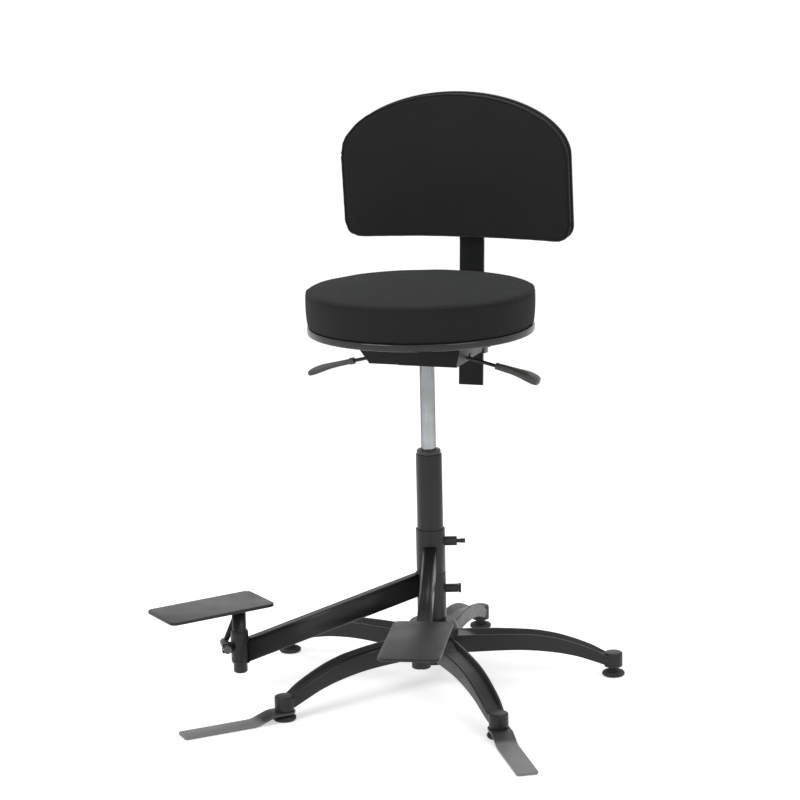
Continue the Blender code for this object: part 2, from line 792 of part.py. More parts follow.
def make_piston_rod(stool):
    rod = turned(
        [
            (0, ROD_END),
            (ROD_END_RADIUS, ROD_END),
            (ROD_END_RADIUS, ROD_SHOULDER),
            (ROD_RADIUS, ROD_SHOULDER),
            (ROD_RADIUS, ROD_TOP - PISTON_HEIGHT),
            (PISTON_RADIUS, ROD_TOP - PISTON_HEIGHT),
            (PISTON_RADIUS, ROD_TOP),
            (0, ROD_TOP),
        ],
        ROUND_SEGMENTS,
    )
    piece("piston_rod", rod, STEEL, stool)
    clip_top = TUBE_BOTTOM - SEAT_GAP
    clip_bore = ROD_END_RADIUS + SEAT_GAP
    clip = ring(clip_bore, CLIP_RADIUS, clip_top - CLIP_HEIGHT, clip_top, SMALL_SEGMENTS)
    piece("rod_clip", clip, STEEL, stool)


def make_gas_cylinder(seat):
    rod_hole = ROD_RADIUS + RUN_GAP
    cavity_bottom = CYLINDER_BOTTOM + CYLINDER_GUIDE
    cavity_top = CYLINDER_BOTTOM + CYLINDER_CAVITY
    pocket = BUTTON_RADIUS + RUN_GAP
    body = turned(
        [
            (rod_hole, CYLINDER_BOTTOM),
            (CYLINDER_RADIUS, CYLINDER_BOTTOM),
            (CYLINDER_RADIUS, CYLINDER_TOP),
            (pocket, CYLINDER_TOP),
            (pocket, CYLINDER_TOP - BUTTON_POCKET),
            (0, CYLINDER_TOP - BUTTON_POCKET),
            (0, cavity_top),
            (CYLINDER_BORE, cavity_top),
            (CYLINDER_BORE, cavity_bottom),
            (rod_hole, cavity_bottom),
        ],
        ROUND_SEGMENTS,
    )
    piece("gas_cylinder", body, CHROME, seat)
    button_bottom = CYLINDER_TOP - BUTTON_DEPTH
    button = cylinder(BUTTON_RADIUS, button_bottom, CYLINDER_TOP + BUTTON_PROUD, SMALL_SEGMENTS)
    piece("release_button", button, STEEL, seat)


# Sleeves on the column and the foot rests they carry


def liner_mesh(bottom, top):
    return turned(
        [
            (LINER_INNER, bottom),
            (LINER_FLANGE_RADIUS, bottom),
            (LINER_FLANGE_RADIUS, bottom + LINER_FLANGE),
            (LINER_OUTER, bottom + LINER_FLANGE),
            (LINER_OUTER, top),
            (LINER_INNER, top),
        ],
        FINE_SEGMENTS,
    )


def make_sleeve(name, arm, bottom, top, foot_radius, boss_radius, boss_reach, boss_height, side):
    """A steel sleeve with one round boss for its screw, at the angle side."""
    sections = []
    stations = ((foot_radius, bottom), (SLEEVE_RADIUS, bottom + SLEEVE_TAPER), (SLEEVE_RADIUS, top))
    for radius, height in stations:
        section = []
        for step in range(FINE_SEGMENTS):
            angle = math.tau * step / FINE_SEGMENTS
            section.append((radius * math.cos(angle), radius * math.sin(angle), height))
        sections.append(section)
    sleeve = piece(name, lofted(sections), BLACK_COAT, arm)
    boss = along_x(cylinder(boss_radius, SLEEVE_BORE - OVERRUN, boss_reach, ROUND_SEGMENTS))
    add(sleeve, spun(moved(boss, (0, 0, boss_height)), side))
    screw_hole = along_x(
        cylinder(SCREW_RADIUS + RUN_GAP, SLEEVE_BORE - OVERRUN, boss_reach + OVERRUN, SMALL_SEGMENTS)
    )
    cut(sleeve, spun(moved(screw_hole, (0, 0, boss_height)), side))
    cut(sleeve, cylinder(SLEEVE_BORE, bottom - OVERRUN, top + OVERRUN, FINE_SEGMENTS))


def arm_section(distance, root, half_height, half_width, radius):
    """The rounded section of a sloping arm at a distance from the column's axis."""
    centre = root - math.tan(ARM_SLOPE) * (distance - SLEEVE_RADIUS)
    stretch = 1 / math.cos(ARM_SLOPE)
    outline = rounded_outline(
        (-half_width, -half_height), (half_width, half_height), radius, ARM_CORNER_STEPS
    )
    return [(distance, y, centre + z * stretch) for y, z in outline]


def make_arm(name, arm, length, root):
    """A hollow sloping tube between the column sleeve and the end sleeve."""
    start = SLEEVE_RADIUS / 2
    end = length - END_SLEEVE_RADIUS / 2
    half_height = ARM_HEIGHT / 2
    half_width = ARM_WIDTH / 2
    outer = [arm_section(x, root, half_height, half_width, ARM_CORNER) for x in (start, end)]
    tube = piece(name, lofted(outer), BLACK_COAT, arm)
    inner = [
        arm_section(x, root, half_height - ARM_WALL, half_width - ARM_WALL, ARM_CORNER / 2)
        for x in (start - OVERRUN, end + OVERRUN)
    ]
    cut(tube, lofted(inner))
    low = root - length
    high = root + ARM_HEIGHT
    saddle = cylinder(SLEEVE_RADIUS + SEAT_GAP, low, high, FINE_SEGMENTS)
    end_saddle = cylinder(END_SLEEVE_RADIUS + SEAT_GAP, low, high, POST_SEGMENTS)
    cut(tube, gathered([saddle, moved(end_saddle, (length, 0, 0))]))


def make_end_sleeve(name, arm, length, bottom):
    """A split clamp sleeve with two ears on the side away from the column."""
    top = bottom + END_SLEEVE_HEIGHT
    bolt_height = top - BOLT_DROP
    place = (length, 0, 0)
    sleeve = piece(
        name, cylinder(END_SLEEVE_RADIUS, bottom, top, POST_SEGMENTS), BLACK_COAT, arm, place
    )
    ear_half = SLIT_WIDTH / 2 + EAR_THICKNESS
    ears = box(
        (END_SLEEVE_BORE / 2, -ear_half, bolt_height - EAR_HEIGHT / 2),
        (EAR_REACH, ear_half, bolt_height + EAR_HEIGHT / 2),
    )
    add(sleeve, ears)
    bore = cylinder(END_SLEEVE_BORE, bottom - OVERRUN, top + OVERRUN, POST_SEGMENTS)
    cut(sleeve, bore)
    slit = box(
        (0, -SLIT_WIDTH / 2, bottom - OVERRUN),
        (EAR_REACH + OVERRUN, SLIT_WIDTH / 2, top + OVERRUN),
    )
    cut(sleeve, slit)
    hole = along_y(
        cylinder(BOLT_RADIUS + RUN_GAP, -ear_half - OVERRUN, ear_half + OVERRUN, SMALL_SEGMENTS)
    )
    cut(sleeve, moved(hole, (BOLT_OFFSET, 0, bolt_height)))
    return bolt_height


def make_clamp(side, arm, length, bolt_height, lever_angle):
    """The bolt through the ears and the lever that closes the clamp.

    The clamp frame lies on the bolt's axis, turned so that +Z runs along the lever."""
    ear_half = SLIT_WIDTH / 2 + EAR_THICKNESS
    place = (length + BOLT_OFFSET, 0, bolt_height)
    bolt = turned(
        [
            (0, -ear_half - SEAT_GAP - BOLT_HEAD),
            (BOLT_HEAD_RADIUS, -ear_half - SEAT_GAP - BOLT_HEAD),
            (BOLT_HEAD_RADIUS, -ear_half - SEAT_GAP),
            (BOLT_RADIUS, -ear_half - SEAT_GAP),
            (BOLT_RADIUS, BOLT_TAIL),
            (0, BOLT_TAIL),
        ],
        SMALL_SEGMENTS,
    )
    piece(f"{side}_clamp_bolt", along_y(bolt), STEEL, arm, place)
    hub_start = ear_half + SEAT_GAP
    hub = ring(
        BOLT_RADIUS + RUN_GAP, LEVER_HUB_RADIUS, hub_start, hub_start + LEVER_HUB_LENGTH,
        ROUND_SEGMENTS,
    )
    lever = piece(
        f"{side}_clamp_lever", along_y(hub), BLACK_PLASTIC, arm, place, (0, lever_angle, 0)
    )
    near = -(hub_start + LEVER_LIFT)
    far = near - LEVER_THICKNESS
    root = BOLT_RADIUS + LEVER_HUB_RADIUS / 2
    sections = []
    for reach, width in (
        (root, LEVER_ROOT_WIDTH),
        (LEVER_LENGTH - LEVER_TIP_WIDTH / 2, LEVER_TIP_WIDTH),
        (LEVER_LENGTH, LEVER_TIP_WIDTH / 2),
    ):
        outline = rounded_outline((-width / 2, far), (width / 2, near), LEVER_EDGE, EDGE_STEPS)
        sections.append([(x, y, reach) for x, y in outline])
    add(lever, lofted(sections))


def make_foot_rest(side, post_frame, sleeve_bottom, post_bottom, plate_bottom, inset):
    """The bush in the end sleeve, the post that turns and slides in it, and its plate."""
    sleeve_top = sleeve_bottom + END_SLEEVE_HEIGHT
    flange_bottom = sleeve_top + SEAT_GAP
    flange_top = flange_bottom + END_BUSH_FLANGE_HEIGHT
    bush_inner = POST_RADIUS + RUN_GAP
    bush = turned(
        [
            (bush_inner, sleeve_bottom),
            (END_BUSH_OUTER, sleeve_bottom),
            (END_BUSH_OUTER, flange_bottom),
            (END_BUSH_FLANGE, flange_bottom),
            (END_BUSH_FLANGE, flange_top),
            (bush_inner, flange_top),
        ],
        POST_SEGMENTS,
    )
    piece(f"{side}_end_bush", bush, BLACK_PLASTIC, post_frame)
    post_top = plate_bottom - SEAT_GAP
    bore = POST_RADIUS - POST_WALL
    post = turned(
        [
            (0, post_bottom),
            (POST_RADIUS - POST_ROUND, post_bottom),
            (POST_RADIUS, post_bottom + POST_ROUND),
            (POST_RADIUS, post_top),
            (bore, post_top),
            (bore, post_bottom + POST_WALL),
            (0, post_bottom + POST_WALL),
        ],
        POST_SEGMENTS,
    )
    piece(f"{side}_post", post, BLACK_COAT, post_frame)
    sections = []
    for inside, height in (
        (PLATE_EDGE, plate_bottom),
        (0, plate_bottom + PLATE_EDGE),
        (0, plate_bottom + PLATE_THICKNESS - PLATE_EDGE),
        (PLATE_EDGE, plate_bottom + PLATE_THICKNESS),
    ):
        outline = rounded_outline(
            (inside - inset, inside - PLATE_WIDTH / 2),
            (PLATE_LENGTH - inset - inside, PLATE_WIDTH / 2 - inside),
            PLATE_CORNER - inside,
            PLATE_CORNER_STEPS,
        )
        sections.append([(x, y, height) for x, y in outline])
    piece(f"{side}_foot_plate", lofted(sections), BLACK_COAT, post_frame)


def make_lower_rest(stool):
    arm = frame("lower_arm_frame", stool, rotation=(0, 0, LOWER_ARM_ANGLE))
    liner = liner_mesh(HUB_TOP + SEAT_GAP, LOWER_SLEEVE_TOP - SEAT_GAP)
    piece("lower_liner", liner, BLACK_PLASTIC, stool)
    side = SCREW_SIDE - LOWER_ARM_ANGLE
    height = LOWER_SLEEVE_TOP - LOWER_SCREW_DROP
    make_sleeve(
        "lower_sleeve", arm, LOWER_SLEEVE_BOTTOM, LOWER_SLEEVE_TOP, SLEEVE_BOTTOM_RADIUS,
        LOWER_SCREW_BOSS_RADIUS, LOWER_SCREW_BOSS_REACH, height, side,
    )
    head = LOWER_SCREW_BOSS_REACH + SEAT_GAP
    knob = turned(
        [
            (0, SLEEVE_BORE),
            (SCREW_RADIUS, SLEEVE_BORE),
            (SCREW_RADIUS, head),
            (LOWER_SCREW_HEAD_RADIUS, head),
            (LOWER_SCREW_HEAD_RADIUS, LOWER_SCREW_REACH),
            (0, LOWER_SCREW_REACH),
        ],
        SMALL_SEGMENTS,
    )
    piece("lower_lock_knob", along_x(knob), BLACK_STEEL, arm, (0, 0, height), (0, 0, side))
    make_arm("lower_arm", arm, LOWER_ARM_LENGTH, LOWER_ARM_ROOT)
    bolt_height = make_end_sleeve("lower_end_sleeve", arm, LOWER_ARM_LENGTH, LOWER_END_BOTTOM)
    make_clamp("lower", arm, LOWER_ARM_LENGTH, bolt_height, LOWER_LEVER_ANGLE)
    turn = LOWER_PLATE_ANGLE - LOWER_ARM_ANGLE
    post_frame = frame("lower_post_frame", arm, (LOWER_ARM_LENGTH, 0, 0), (0, 0, turn))
    make_foot_rest(
        "lower", post_frame, LOWER_END_BOTTOM, LOWER_POST_BOTTOM, LOWER_PLATE_BOTTOM,
        LOWER_PLATE_INSET,
    )


def make_upper_rest(stool):
    arm = frame("upper_arm_frame", stool, rotation=(0, 0, UPPER_ARM_ANGLE))
    liner = liner_mesh(UPPER_LINER_BOTTOM, UPPER_SLEEVE_TOP - SEAT_GAP)
    piece("upper_liner", liner, BLACK_PLASTIC, stool)
    side = SCREW_SIDE - UPPER_ARM_ANGLE
    height = UPPER_SLEEVE_TOP - UPPER_PIN_DROP
    make_sleeve(
        "upper_sleeve", arm, UPPER_SLEEVE_BOTTOM, UPPER_SLEEVE_TOP, SLEEVE_RADIUS,
        UPPER_PIN_BOSS_RADIUS, UPPER_PIN_BOSS_REACH, height, side,
    )
    pin = turned(
        [
            (0, SLEEVE_BORE),
            (SCREW_RADIUS, SLEEVE_BORE),
            (SCREW_RADIUS, UPPER_PIN_REACH - UPPER_PIN_END),
            (SCREW_RADIUS - UPPER_PIN_END, UPPER_PIN_REACH),
            (0, UPPER_PIN_REACH),
        ],
        SMALL_SEGMENTS,
    )
    piece("upper_lock_pin", along_x(pin), BLACK_STEEL, arm, (0, 0, height), (0, 0, side))
    make_arm("upper_arm", arm, UPPER_ARM_LENGTH, UPPER_ARM_ROOT)
    bolt_height = make_end_sleeve("upper_end_sleeve", arm, UPPER_ARM_LENGTH, UPPER_END_BOTTOM)
    make_clamp("upper", arm, UPPER_ARM_LENGTH, bolt_height, UPPER_LEVER_ANGLE)
    turn = UPPER_PLATE_ANGLE - UPPER_ARM_ANGLE
    post_frame = frame("upper_post_frame", arm, (UPPER_ARM_LENGTH, 0, 0), (0, 0, turn))
    make_foot_rest(
        "upper", post_frame, UPPER_END_BOTTOM, UPPER_POST_BOTTOM, UPPER_PLATE_BOTTOM,
        UPPER_PLATE_INSET,
    )


# Seat mechanism


def housing_outline(wall):
    """Front view of the pressed tray as (x, z) points, drawn in by the wall."""
    left = -HOUSING_LEFT + wall
    right = HOUSING_RIGHT - wall
    floor = HOUSING_FLOOR + wall
    return [
        (left, HOUSING_TOP),
        (left + HOUSING_TAPER, HOUSING_SHOULDER),
        (left + HOUSING_LEFT_TAPER, floor),
        (right - HOUSING_TAPER, floor),
        (right, HOUSING_SHOULDER),
        (right, HOUSING_TOP),
    ]


def tray_mesh(wall, top):
    """The tray's solid, or with a wall its hollow, up to the height top."""
    sections = []
    for y in (-HOUSING_FRONT + wall, HOUSING_BACK - wall):
        section = []
        for x, z in housing_outline(wall):
            section.append((x, y, top if z == HOUSING_TOP else z))
        sections.append(section)
    return lofted(sections)


def lever_cheeks():
    """Two pairs of small plates that carry the levers' cross pins."""
    cheeks = []
    for side in (-1, 1):
        for face in (-1, 1):
            inner = face * LEVER_CHEEK_GAP
            outer = face * (LEVER_CHEEK_GAP + LEVER_CHEEK)
            centre = side * LEVER_PIVOT
            low = (centre - LEVER_CHEEK_HALF, min(inner, outer), HOUSING_FLOOR + HOUSING_WALL / 2)
            high = (centre + LEVER_CHEEK_HALF, max(inner, outer), LEVER_PIVOT_HEIGHT + LEVER_CHEEK_RISE)
            cheeks.append(box(low, high))
    return cheeks


def tilt_cheeks():
    cheeks = []
    for side in (-1, 1):
        inner = side * TILT_CHEEK_INNER
        outer = side * (TILT_CHEEK_INNER + TILT_CHEEK)
        low = (min(inner, outer), TILT_BACK - TILT_CHEEK_HALF, HOUSING_FLOOR + HOUSING_WALL / 2)
        high = (max(inner, outer), TILT_BACK + TILT_CHEEK_HALF, TILT_HEIGHT + TILT_CHEEK_RISE)
        cheeks.append(box(low, high))
    return cheeks


def make_housing(seat):
    housing = piece("mechanism_housing", tray_mesh(0, HOUSING_TOP), BLACK_COAT, seat)
    step_top = HOUSING_FLOOR + HOUSING_WALL
    step = box((-STEP_LEFT, -STEP_FRONT, STEP_BOTTOM), (STEP_RIGHT, STEP_FRONT, step_top))
    add(housing, step)
    cut(housing, tray_mesh(HOUSING_WALL, HOUSING_TOP + OVERRUN))
    socket = cylinder(SOCKET_RADIUS, SOCKET_BOTTOM, CYLINDER_TOP, FINE_SEGMENTS)
    add(housing, socket)
    add(housing, gathered(lever_cheeks() + tilt_cheeks()))
    bore = cylinder(
        CYLINDER_RADIUS + SEAT_GAP, SOCKET_BOTTOM - OVERRUN, CYLINDER_TOP + OVERRUN, ROUND_SEGMENTS
    )
    pin_holes = []
    reach = LEVER_CHEEK_GAP + LEVER_CHEEK * 2
    for side in (-1, 1):
        hole = along_y(cylinder(LEVER_PIN_RADIUS + RUN_GAP, -reach, reach, SMALL_SEGMENTS))
        pin_holes.append(moved(hole, (side * LEVER_PIVOT, 0, LEVER_PIVOT_HEIGHT)))
    tilt_reach = TILT_CHEEK_INNER + TILT_CHEEK * 2
    tilt_hole = along_x(cylinder(TILT_PIN_RADIUS + RUN_GAP, -tilt_reach, tilt_reach, SMALL_SEGMENTS))
    pin_holes.append(moved(tilt_hole, (0, TILT_BACK, TILT_HEIGHT)))
    cut(housing, gathered([bore] + pin_holes))
    slots = []
    slot_start = LEVER_PIVOT + LEVER_CHEEK_HALF + RUN_GAP
    middle = LEVER_PIVOT_HEIGHT - math.tan(LEVER_SLOPE) * (HOUSING_RIGHT - LEVER_PIVOT)
    for low, high in ((-HOUSING_LEFT - OVERRUN, -slot_start), (slot_start, HOUSING_RIGHT + OVERRUN)):
        slots.append(
            box(
                (low, -LEVER_SLOT_HALF, middle - LEVER_SLOT_LOW),
                (high, LEVER_SLOT_HALF, middle + LEVER_SLOT_HIGH),
            )
        )
    slots.append(
        box(
            (-WINDOW_HALF, HOUSING_BACK - HOUSING_WALL * 2, TILT_HEIGHT - WINDOW_LOW),
            (WINDOW_HALF, HOUSING_BACK + OVERRUN, TILT_HEIGHT + WINDOW_HIGH),
        )
    )
    cut(housing, gathered(slots))


def make_lever(name, seat, side, inner, start, length, thickness):
    """A sloping rod on a cross pin, with a flat plastic grip; side is -1 for left."""
    turn = math.pi if side < 0 else 0
    place = (side * LEVER_PIVOT, 0, LEVER_PIVOT_HEIGHT)
    pivot = frame(f"{name}_frame", seat, place, (0, LEVER_SLOPE, turn))
    rod = piece(
        f"{name}_rod",
        along_x(cylinder(ROD_LEVER_RADIUS, -inner, LEVER_ROD_REACH, SMALL_SEGMENTS)),
        BLACK_STEEL,
        pivot,
    )
    half = LEVER_CHEEK_GAP + LEVER_CHEEK
    add(rod, along_y(cylinder(LEVER_PIN_RADIUS, -half, half, SMALL_SEGMENTS)))
    sections = []
    for place_share, width, thick, droop in GRIP_SHARES:
        x = start + length * place_share
        half_width = GRIP_WIDTH * width / 2
        half_thick = thickness * thick / 2
        section = []
        for step in range(GRIP_SIDES):
            angle = math.tau * step / GRIP_SIDES
            section.append(
                (x, half_width * math.cos(angle), half_thick * math.sin(angle) - GRIP_DROOP * droop)
            )
        sections.append(section)
    grip = piece(f"{name}_grip", lofted(sections), GREY_PLASTIC, pivot)
    socket_end = LEVER_ROD_REACH + SEAT_GAP
    socket = cylinder(ROD_LEVER_RADIUS + SEAT_GAP, start - OVERRUN, socket_end, SMALL_SEGMENTS)
    cut(grip, along_x(socket))


def make_seat_plate(seat):
    outline = rounded_outline(
        (-SEAT_PLATE_LENGTH / 2, -SEAT_PLATE_WIDTH / 2),
        (SEAT_PLATE_LENGTH / 2, SEAT_PLATE_WIDTH / 2),
        SEAT_PLATE_CORNER,
        SEAT_PLATE_CORNER_STEPS,
    )
    top = SEAT_PLATE_BOTTOM + SEAT_PLATE_THICKNESS
    plate = piece("seat_plate", prism(outline, SEAT_PLATE_BOTTOM, top), BLACK_STEEL, seat)
    board = piece(
        "seat_board",
        cylinder(BOARD_RADIUS, BOARD_BOTTOM, BOARD_TOP, CUSHION_SEGMENTS),
        PLYWOOD,
        seat,
        (0, -SEAT_FORWARD, 0),
    )
    depth_top = BOARD_BOTTOM + SEAT_BOLT_DEPTH
    places = [(x * SEAT_BOLT_X, y * SEAT_BOLT_Y, 0) for x in (-1, 1) for y in (-1, 1)]
    holes = []
    board_holes = []
    for place in places:
        low = SEAT_PLATE_BOTTOM - OVERRUN
        hole = cylinder(SEAT_BOLT_RADIUS + RUN_GAP, low, depth_top + SEAT_GAP, SMALL_SEGMENTS)
        board_holes.append(moved(hole.copy(), (place[0], place[1] + SEAT_FORWARD, 0)))
        holes.append(moved(hole, place))
    cut(plate, gathered(holes))
    cut(board, gathered(board_holes))
    head_top = SEAT_PLATE_BOTTOM - SEAT_GAP
    for index, place in enumerate(places):
        bolt = turned(
            [
                (0, head_top - SEAT_BOLT_HEAD),
                (SEAT_BOLT_HEAD_RADIUS, head_top - SEAT_BOLT_HEAD),
                (SEAT_BOLT_HEAD_RADIUS, head_top),
                (SEAT_BOLT_RADIUS, head_top),
                (SEAT_BOLT_RADIUS, depth_top),
                (0, depth_top),
            ],
            SMALL_SEGMENTS,
        )
        piece(f"seat_bolt_{index + 1}", bolt, STEEL, seat, place)


def make_cushion(seat):
    place = (0, -SEAT_FORWARD, 0)
    trim_inner = BOARD_RADIUS + SEAT_GAP
    trim_outer = trim_inner + TRIM_WIDTH
    trim = turned(
        [
            (trim_inner, BOARD_BOTTOM),
            (trim_outer - TRIM_BEAD, BOARD_BOTTOM),
            (trim_outer, BOARD_BOTTOM + TRIM_BEAD),
            (trim_outer, BOARD_TOP - TRIM_BEAD),
            (trim_outer - TRIM_BEAD, BOARD_TOP),
            (trim_inner, BOARD_TOP),
        ],
        CUSHION_SEGMENTS,
    )
    piece("seat_edge_trim", trim, GLOSS_TRIM, seat, place)
    profile = []
    for reach, height in CUSHION_SHARES:
        profile.append((CUSHION_RADIUS * reach, CUSHION_BOTTOM + CUSHION_HEIGHT * height))
    piece("seat_cushion", turned(profile, CUSHION_SEGMENTS), FABRIC, seat, place)


# Backrest


def make_bracket(tilt, post_frame):
    """The tilt bracket: an eye round the pin, a flat arm and the holder of the flat post."""
    pin_half = TILT_CHEEK_INNER + TILT_CHEEK - SEAT_GAP
    piece(
        "tilt_pin", along_x(cylinder(TILT_PIN_RADIUS, -pin_half, pin_half, SMALL_SEGMENTS)),
        STEEL, tilt.parent, tilt.location,
    )
    eye = along_x(cylinder(EYE_RADIUS, -EYE_HALF, EYE_HALF, ROUND_SEGMENTS))
    bracket = piece("back_bracket", eye, STEEL, tilt)
    middle = -(HOLDER_LOW + HOLDER_HIGH) / 2
    post_back = POST_BACK - TILT_BACK + math.sin(POST_LEAN) * middle
    post_height = POST_REFERENCE - TILT_HEIGHT + math.cos(POST_LEAN) * middle
    half_width = BRACKET_WIDTH / 2
    half_thick = BRACKET_THICKNESS / 2
    bends = (
        (EYE_RADIUS / 2, 0),
        (HOUSING_BACK - TILT_BACK + OVERRUN, 0),
        (post_back - HOLDER_HALF_DEPTH - OVERRUN * 2, post_height),
        (post_back - HOLDER_HALF_DEPTH + HOUSING_WALL, post_height),
    )
    sections = []
    for y, z in bends:
        sections.append(
            [
                (-half_width, y, z - half_thick),
                (half_width, y, z - half_thick),
                (half_width, y, z + half_thick),
                (-half_width, y, z + half_thick),
            ]
        )
    add(bracket, lofted(sections))
    holder = box(
        (-HOLDER_HALF_WIDTH, -HOLDER_HALF_DEPTH, -HOLDER_LOW),
        (HOLDER_HALF_WIDTH, HOLDER_HALF_DEPTH, -HOLDER_HIGH),
    )
    add(bracket, holder, post_frame)
    slot = box(
        (
            -BACK_POST_WIDTH / 2 - RUN_GAP,
            -BACK_POST_THICKNESS / 2 - RUN_GAP,
            -HOLDER_LOW - OVERRUN,
        ),
        (BACK_POST_WIDTH / 2 + RUN_GAP, BACK_POST_THICKNESS / 2 + RUN_GAP, OVERRUN - HOLDER_HIGH),
    )
    screw_hole = along_x(
        cylinder(KNOB_SCREW_RADIUS + RUN_GAP, 0, HOLDER_HALF_WIDTH + OVERRUN, SMALL_SEGMENTS)
    )
    cut(bracket, slot, post_frame)
    cut(bracket, moved(screw_hole, (0, 0, middle)), post_frame)
    eye_reach = EYE_HALF + OVERRUN
    eye_hole = cylinder(TILT_PIN_RADIUS + RUN_GAP, -eye_reach, eye_reach, SMALL_SEGMENTS)
    cut(bracket, along_x(eye_hole))
    head = HOLDER_HALF_WIDTH + SEAT_GAP
    knob = turned(
        [
            (0, BACK_POST_WIDTH / 2 + RUN_GAP),
            (KNOB_SCREW_RADIUS, BACK_POST_WIDTH / 2 + RUN_GAP),
            (KNOB_SCREW_RADIUS, head),
            (KNOB_RADIUS, head),
            (KNOB_RADIUS, head + KNOB_THICKNESS),
            (0, head + KNOB_THICKNESS),
        ],
        ROUND_SEGMENTS,
    )
    piece("post_knob", along_x(knob), BLACK_PLASTIC, post_frame, (0, 0, middle))


def back_post_mesh():
    """A flat bar with one mitred bend, where it turns forward to the backrest."""
    low = (-BACK_POST_WIDTH / 2, -BACK_POST_FACE)
    high = (BACK_POST_WIDTH / 2, BACK_POST_FACE)
    mitre = math.tan(PAD_TILT / 2)
    sine = math.sin(PAD_TILT)
    cosine = math.cos(PAD_TILT)
    foot = []
    bend = []
    head = []
    for x, y in rounded_outline(low, high, BACK_POST_CORNER, EDGE_STEPS):
        foot.append((x, y, -BACK_POST_DOWN))
        bend.append((x, y, PAD_BEND + y * mitre))
        head.append(
            (x, y * cosine - BACK_POST_UP * sine, PAD_BEND + y * sine + BACK_POST_UP * cosine)
        )
    return lofted([foot, bend, head])


def make_back_post(post_frame, pad_frame):
    post = piece("back_post", back_post_mesh(), BLACK_COAT, post_frame)
    holes = []
    for place in BACK_SCREW_PLACES:
        hole = along_y(cylinder(BACK_SCREW_RADIUS + RUN_GAP, -OVERRUN, OVERRUN, SMALL_SEGMENTS))
        holes.append(moved(hole, (0, 0, place)))
    cut(post, gathered(holes), pad_frame)


def quarter_arc(x, z, start):
    """One rounded lower corner of the backrest round the point (x, z)."""
    points = []
    for step in range(CORNER_STEPS + 1):
        angle = start + math.pi / 2 * step / CORNER_STEPS
        points.append((x + BACK_CORNER * math.cos(angle), z + BACK_CORNER * math.sin(angle)))
    return points


def back_outline():
    """Front view of the backrest as (x, z) points: a domed top and small lower corners."""
    middle = BACK_LOW + BACK_HEIGHT - BACK_DOME
    corner_x = BACK_HALF_WIDTH - BACK_CORNER
    corner_z = BACK_LOW + BACK_CORNER
    points = []
    for step in range(DOME_STEPS + 1):
        angle = math.pi * step / DOME_STEPS
        points.append((BACK_HALF_WIDTH * math.cos(angle), middle + BACK_DOME * math.sin(angle)))
    for step in range(1, SIDE_STEPS):
        points.append((-BACK_HALF_WIDTH, middle + (corner_z - middle) * step / SIDE_STEPS))
    points += quarter_arc(-corner_x, corner_z, math.pi)
    for step in range(1, BOTTOM_STEPS):
        points.append((-corner_x + 2 * corner_x * step / BOTTOM_STEPS, BACK_LOW))
    points += quarter_arc(corner_x, corner_z, -math.pi / 2)
    for step in range(1, SIDE_STEPS):
        points.append((BACK_HALF_WIDTH, corner_z + (middle - corner_z) * step / SIDE_STEPS))
    return points


def split_bridge(shape, inner, outer):
    """Triangles between two rings, cut the same way in every layer so that layers nest."""
    count = len(outer)
    for step in range(count):
        following = (step + 1) % count
        low = inner[step % len(inner)]
        high = inner[following % len(inner)]
        shape.faces.new((low, outer[step], outer[following]))
        if low is not high:
            shape.faces.new((low, outer[following], high))


def wrap(x):
    """How far forward the backrest's curve brings a point at x."""
    return BACK_WRAP_RADIUS - math.sqrt(BACK_WRAP_RADIUS ** 2 - x ** 2)


def back_layer(ring_shares, back, thickness):
    """A curved layer of the backrest, its rings shrunk toward the middle of the outline."""
    centre = BACK_LOW + BACK_HEIGHT / 2
    outline = back_outline()
    shape = bmesh.new()
    loops = []
    for size, depth in ring_shares:
        loop = []
        for x, z in outline if size > 0 else [(0, centre)]:
            across = x * size
            up = centre + (z - centre) * size
            forward = back + thickness * depth + wrap(across)
            loop.append(shape.verts.new((PAD_SIDE + across, -forward, up)))
        loops.append(loop)
    for index in range(1, len(loops)):
        rings = [(ring_shares[index - 1][0], loops[index - 1]), (ring_shares[index][0], loops[index])]
        rings.sort(key=lambda entry: entry[0])
        split_bridge(shape, rings[0][1], rings[1][1])
    return closed_mesh(shape)


def make_backrest(pad_frame):
    shell = piece(
        "backrest_shell",
        back_layer(SHELL_RING_SHARES, SHELL_BACK, SHELL_THICKNESS),
        BLACK_PLASTIC,
        pad_frame,
    )
    holes = []
    depth = SHELL_BACK + BACK_SCREW_DEPTH
    for place in BACK_SCREW_PLACES:
        hole = along_y(cylinder(BACK_SCREW_RADIUS + RUN_GAP, 0, depth + SEAT_GAP, SMALL_SEGMENTS))
        holes.append(moved(hole, (0, 0, place)))
    cut(shell, gathered(holes))
    pad = back_layer(PAD_RING_SHARES, PAD_BACK, PAD_THICKNESS)
    piece("backrest_pad", pad, FABRIC, pad_frame)
    head = BACK_POST_FACE + SEAT_GAP
    for index, place in enumerate(BACK_SCREW_PLACES):
        screw = turned(
            [
                (0, -head - BACK_SCREW_HEAD),
                (BACK_SCREW_HEAD_RADIUS, -head - BACK_SCREW_HEAD),
                (BACK_SCREW_HEAD_RADIUS, -head),
                (BACK_SCREW_RADIUS, -head),
                (BACK_SCREW_RADIUS, depth),
                (0, depth),
            ],
            SMALL_SEGMENTS,
        )
        piece(f"backrest_screw_{index + 1}", along_y(screw), STEEL, pad_frame, (0, 0, place))


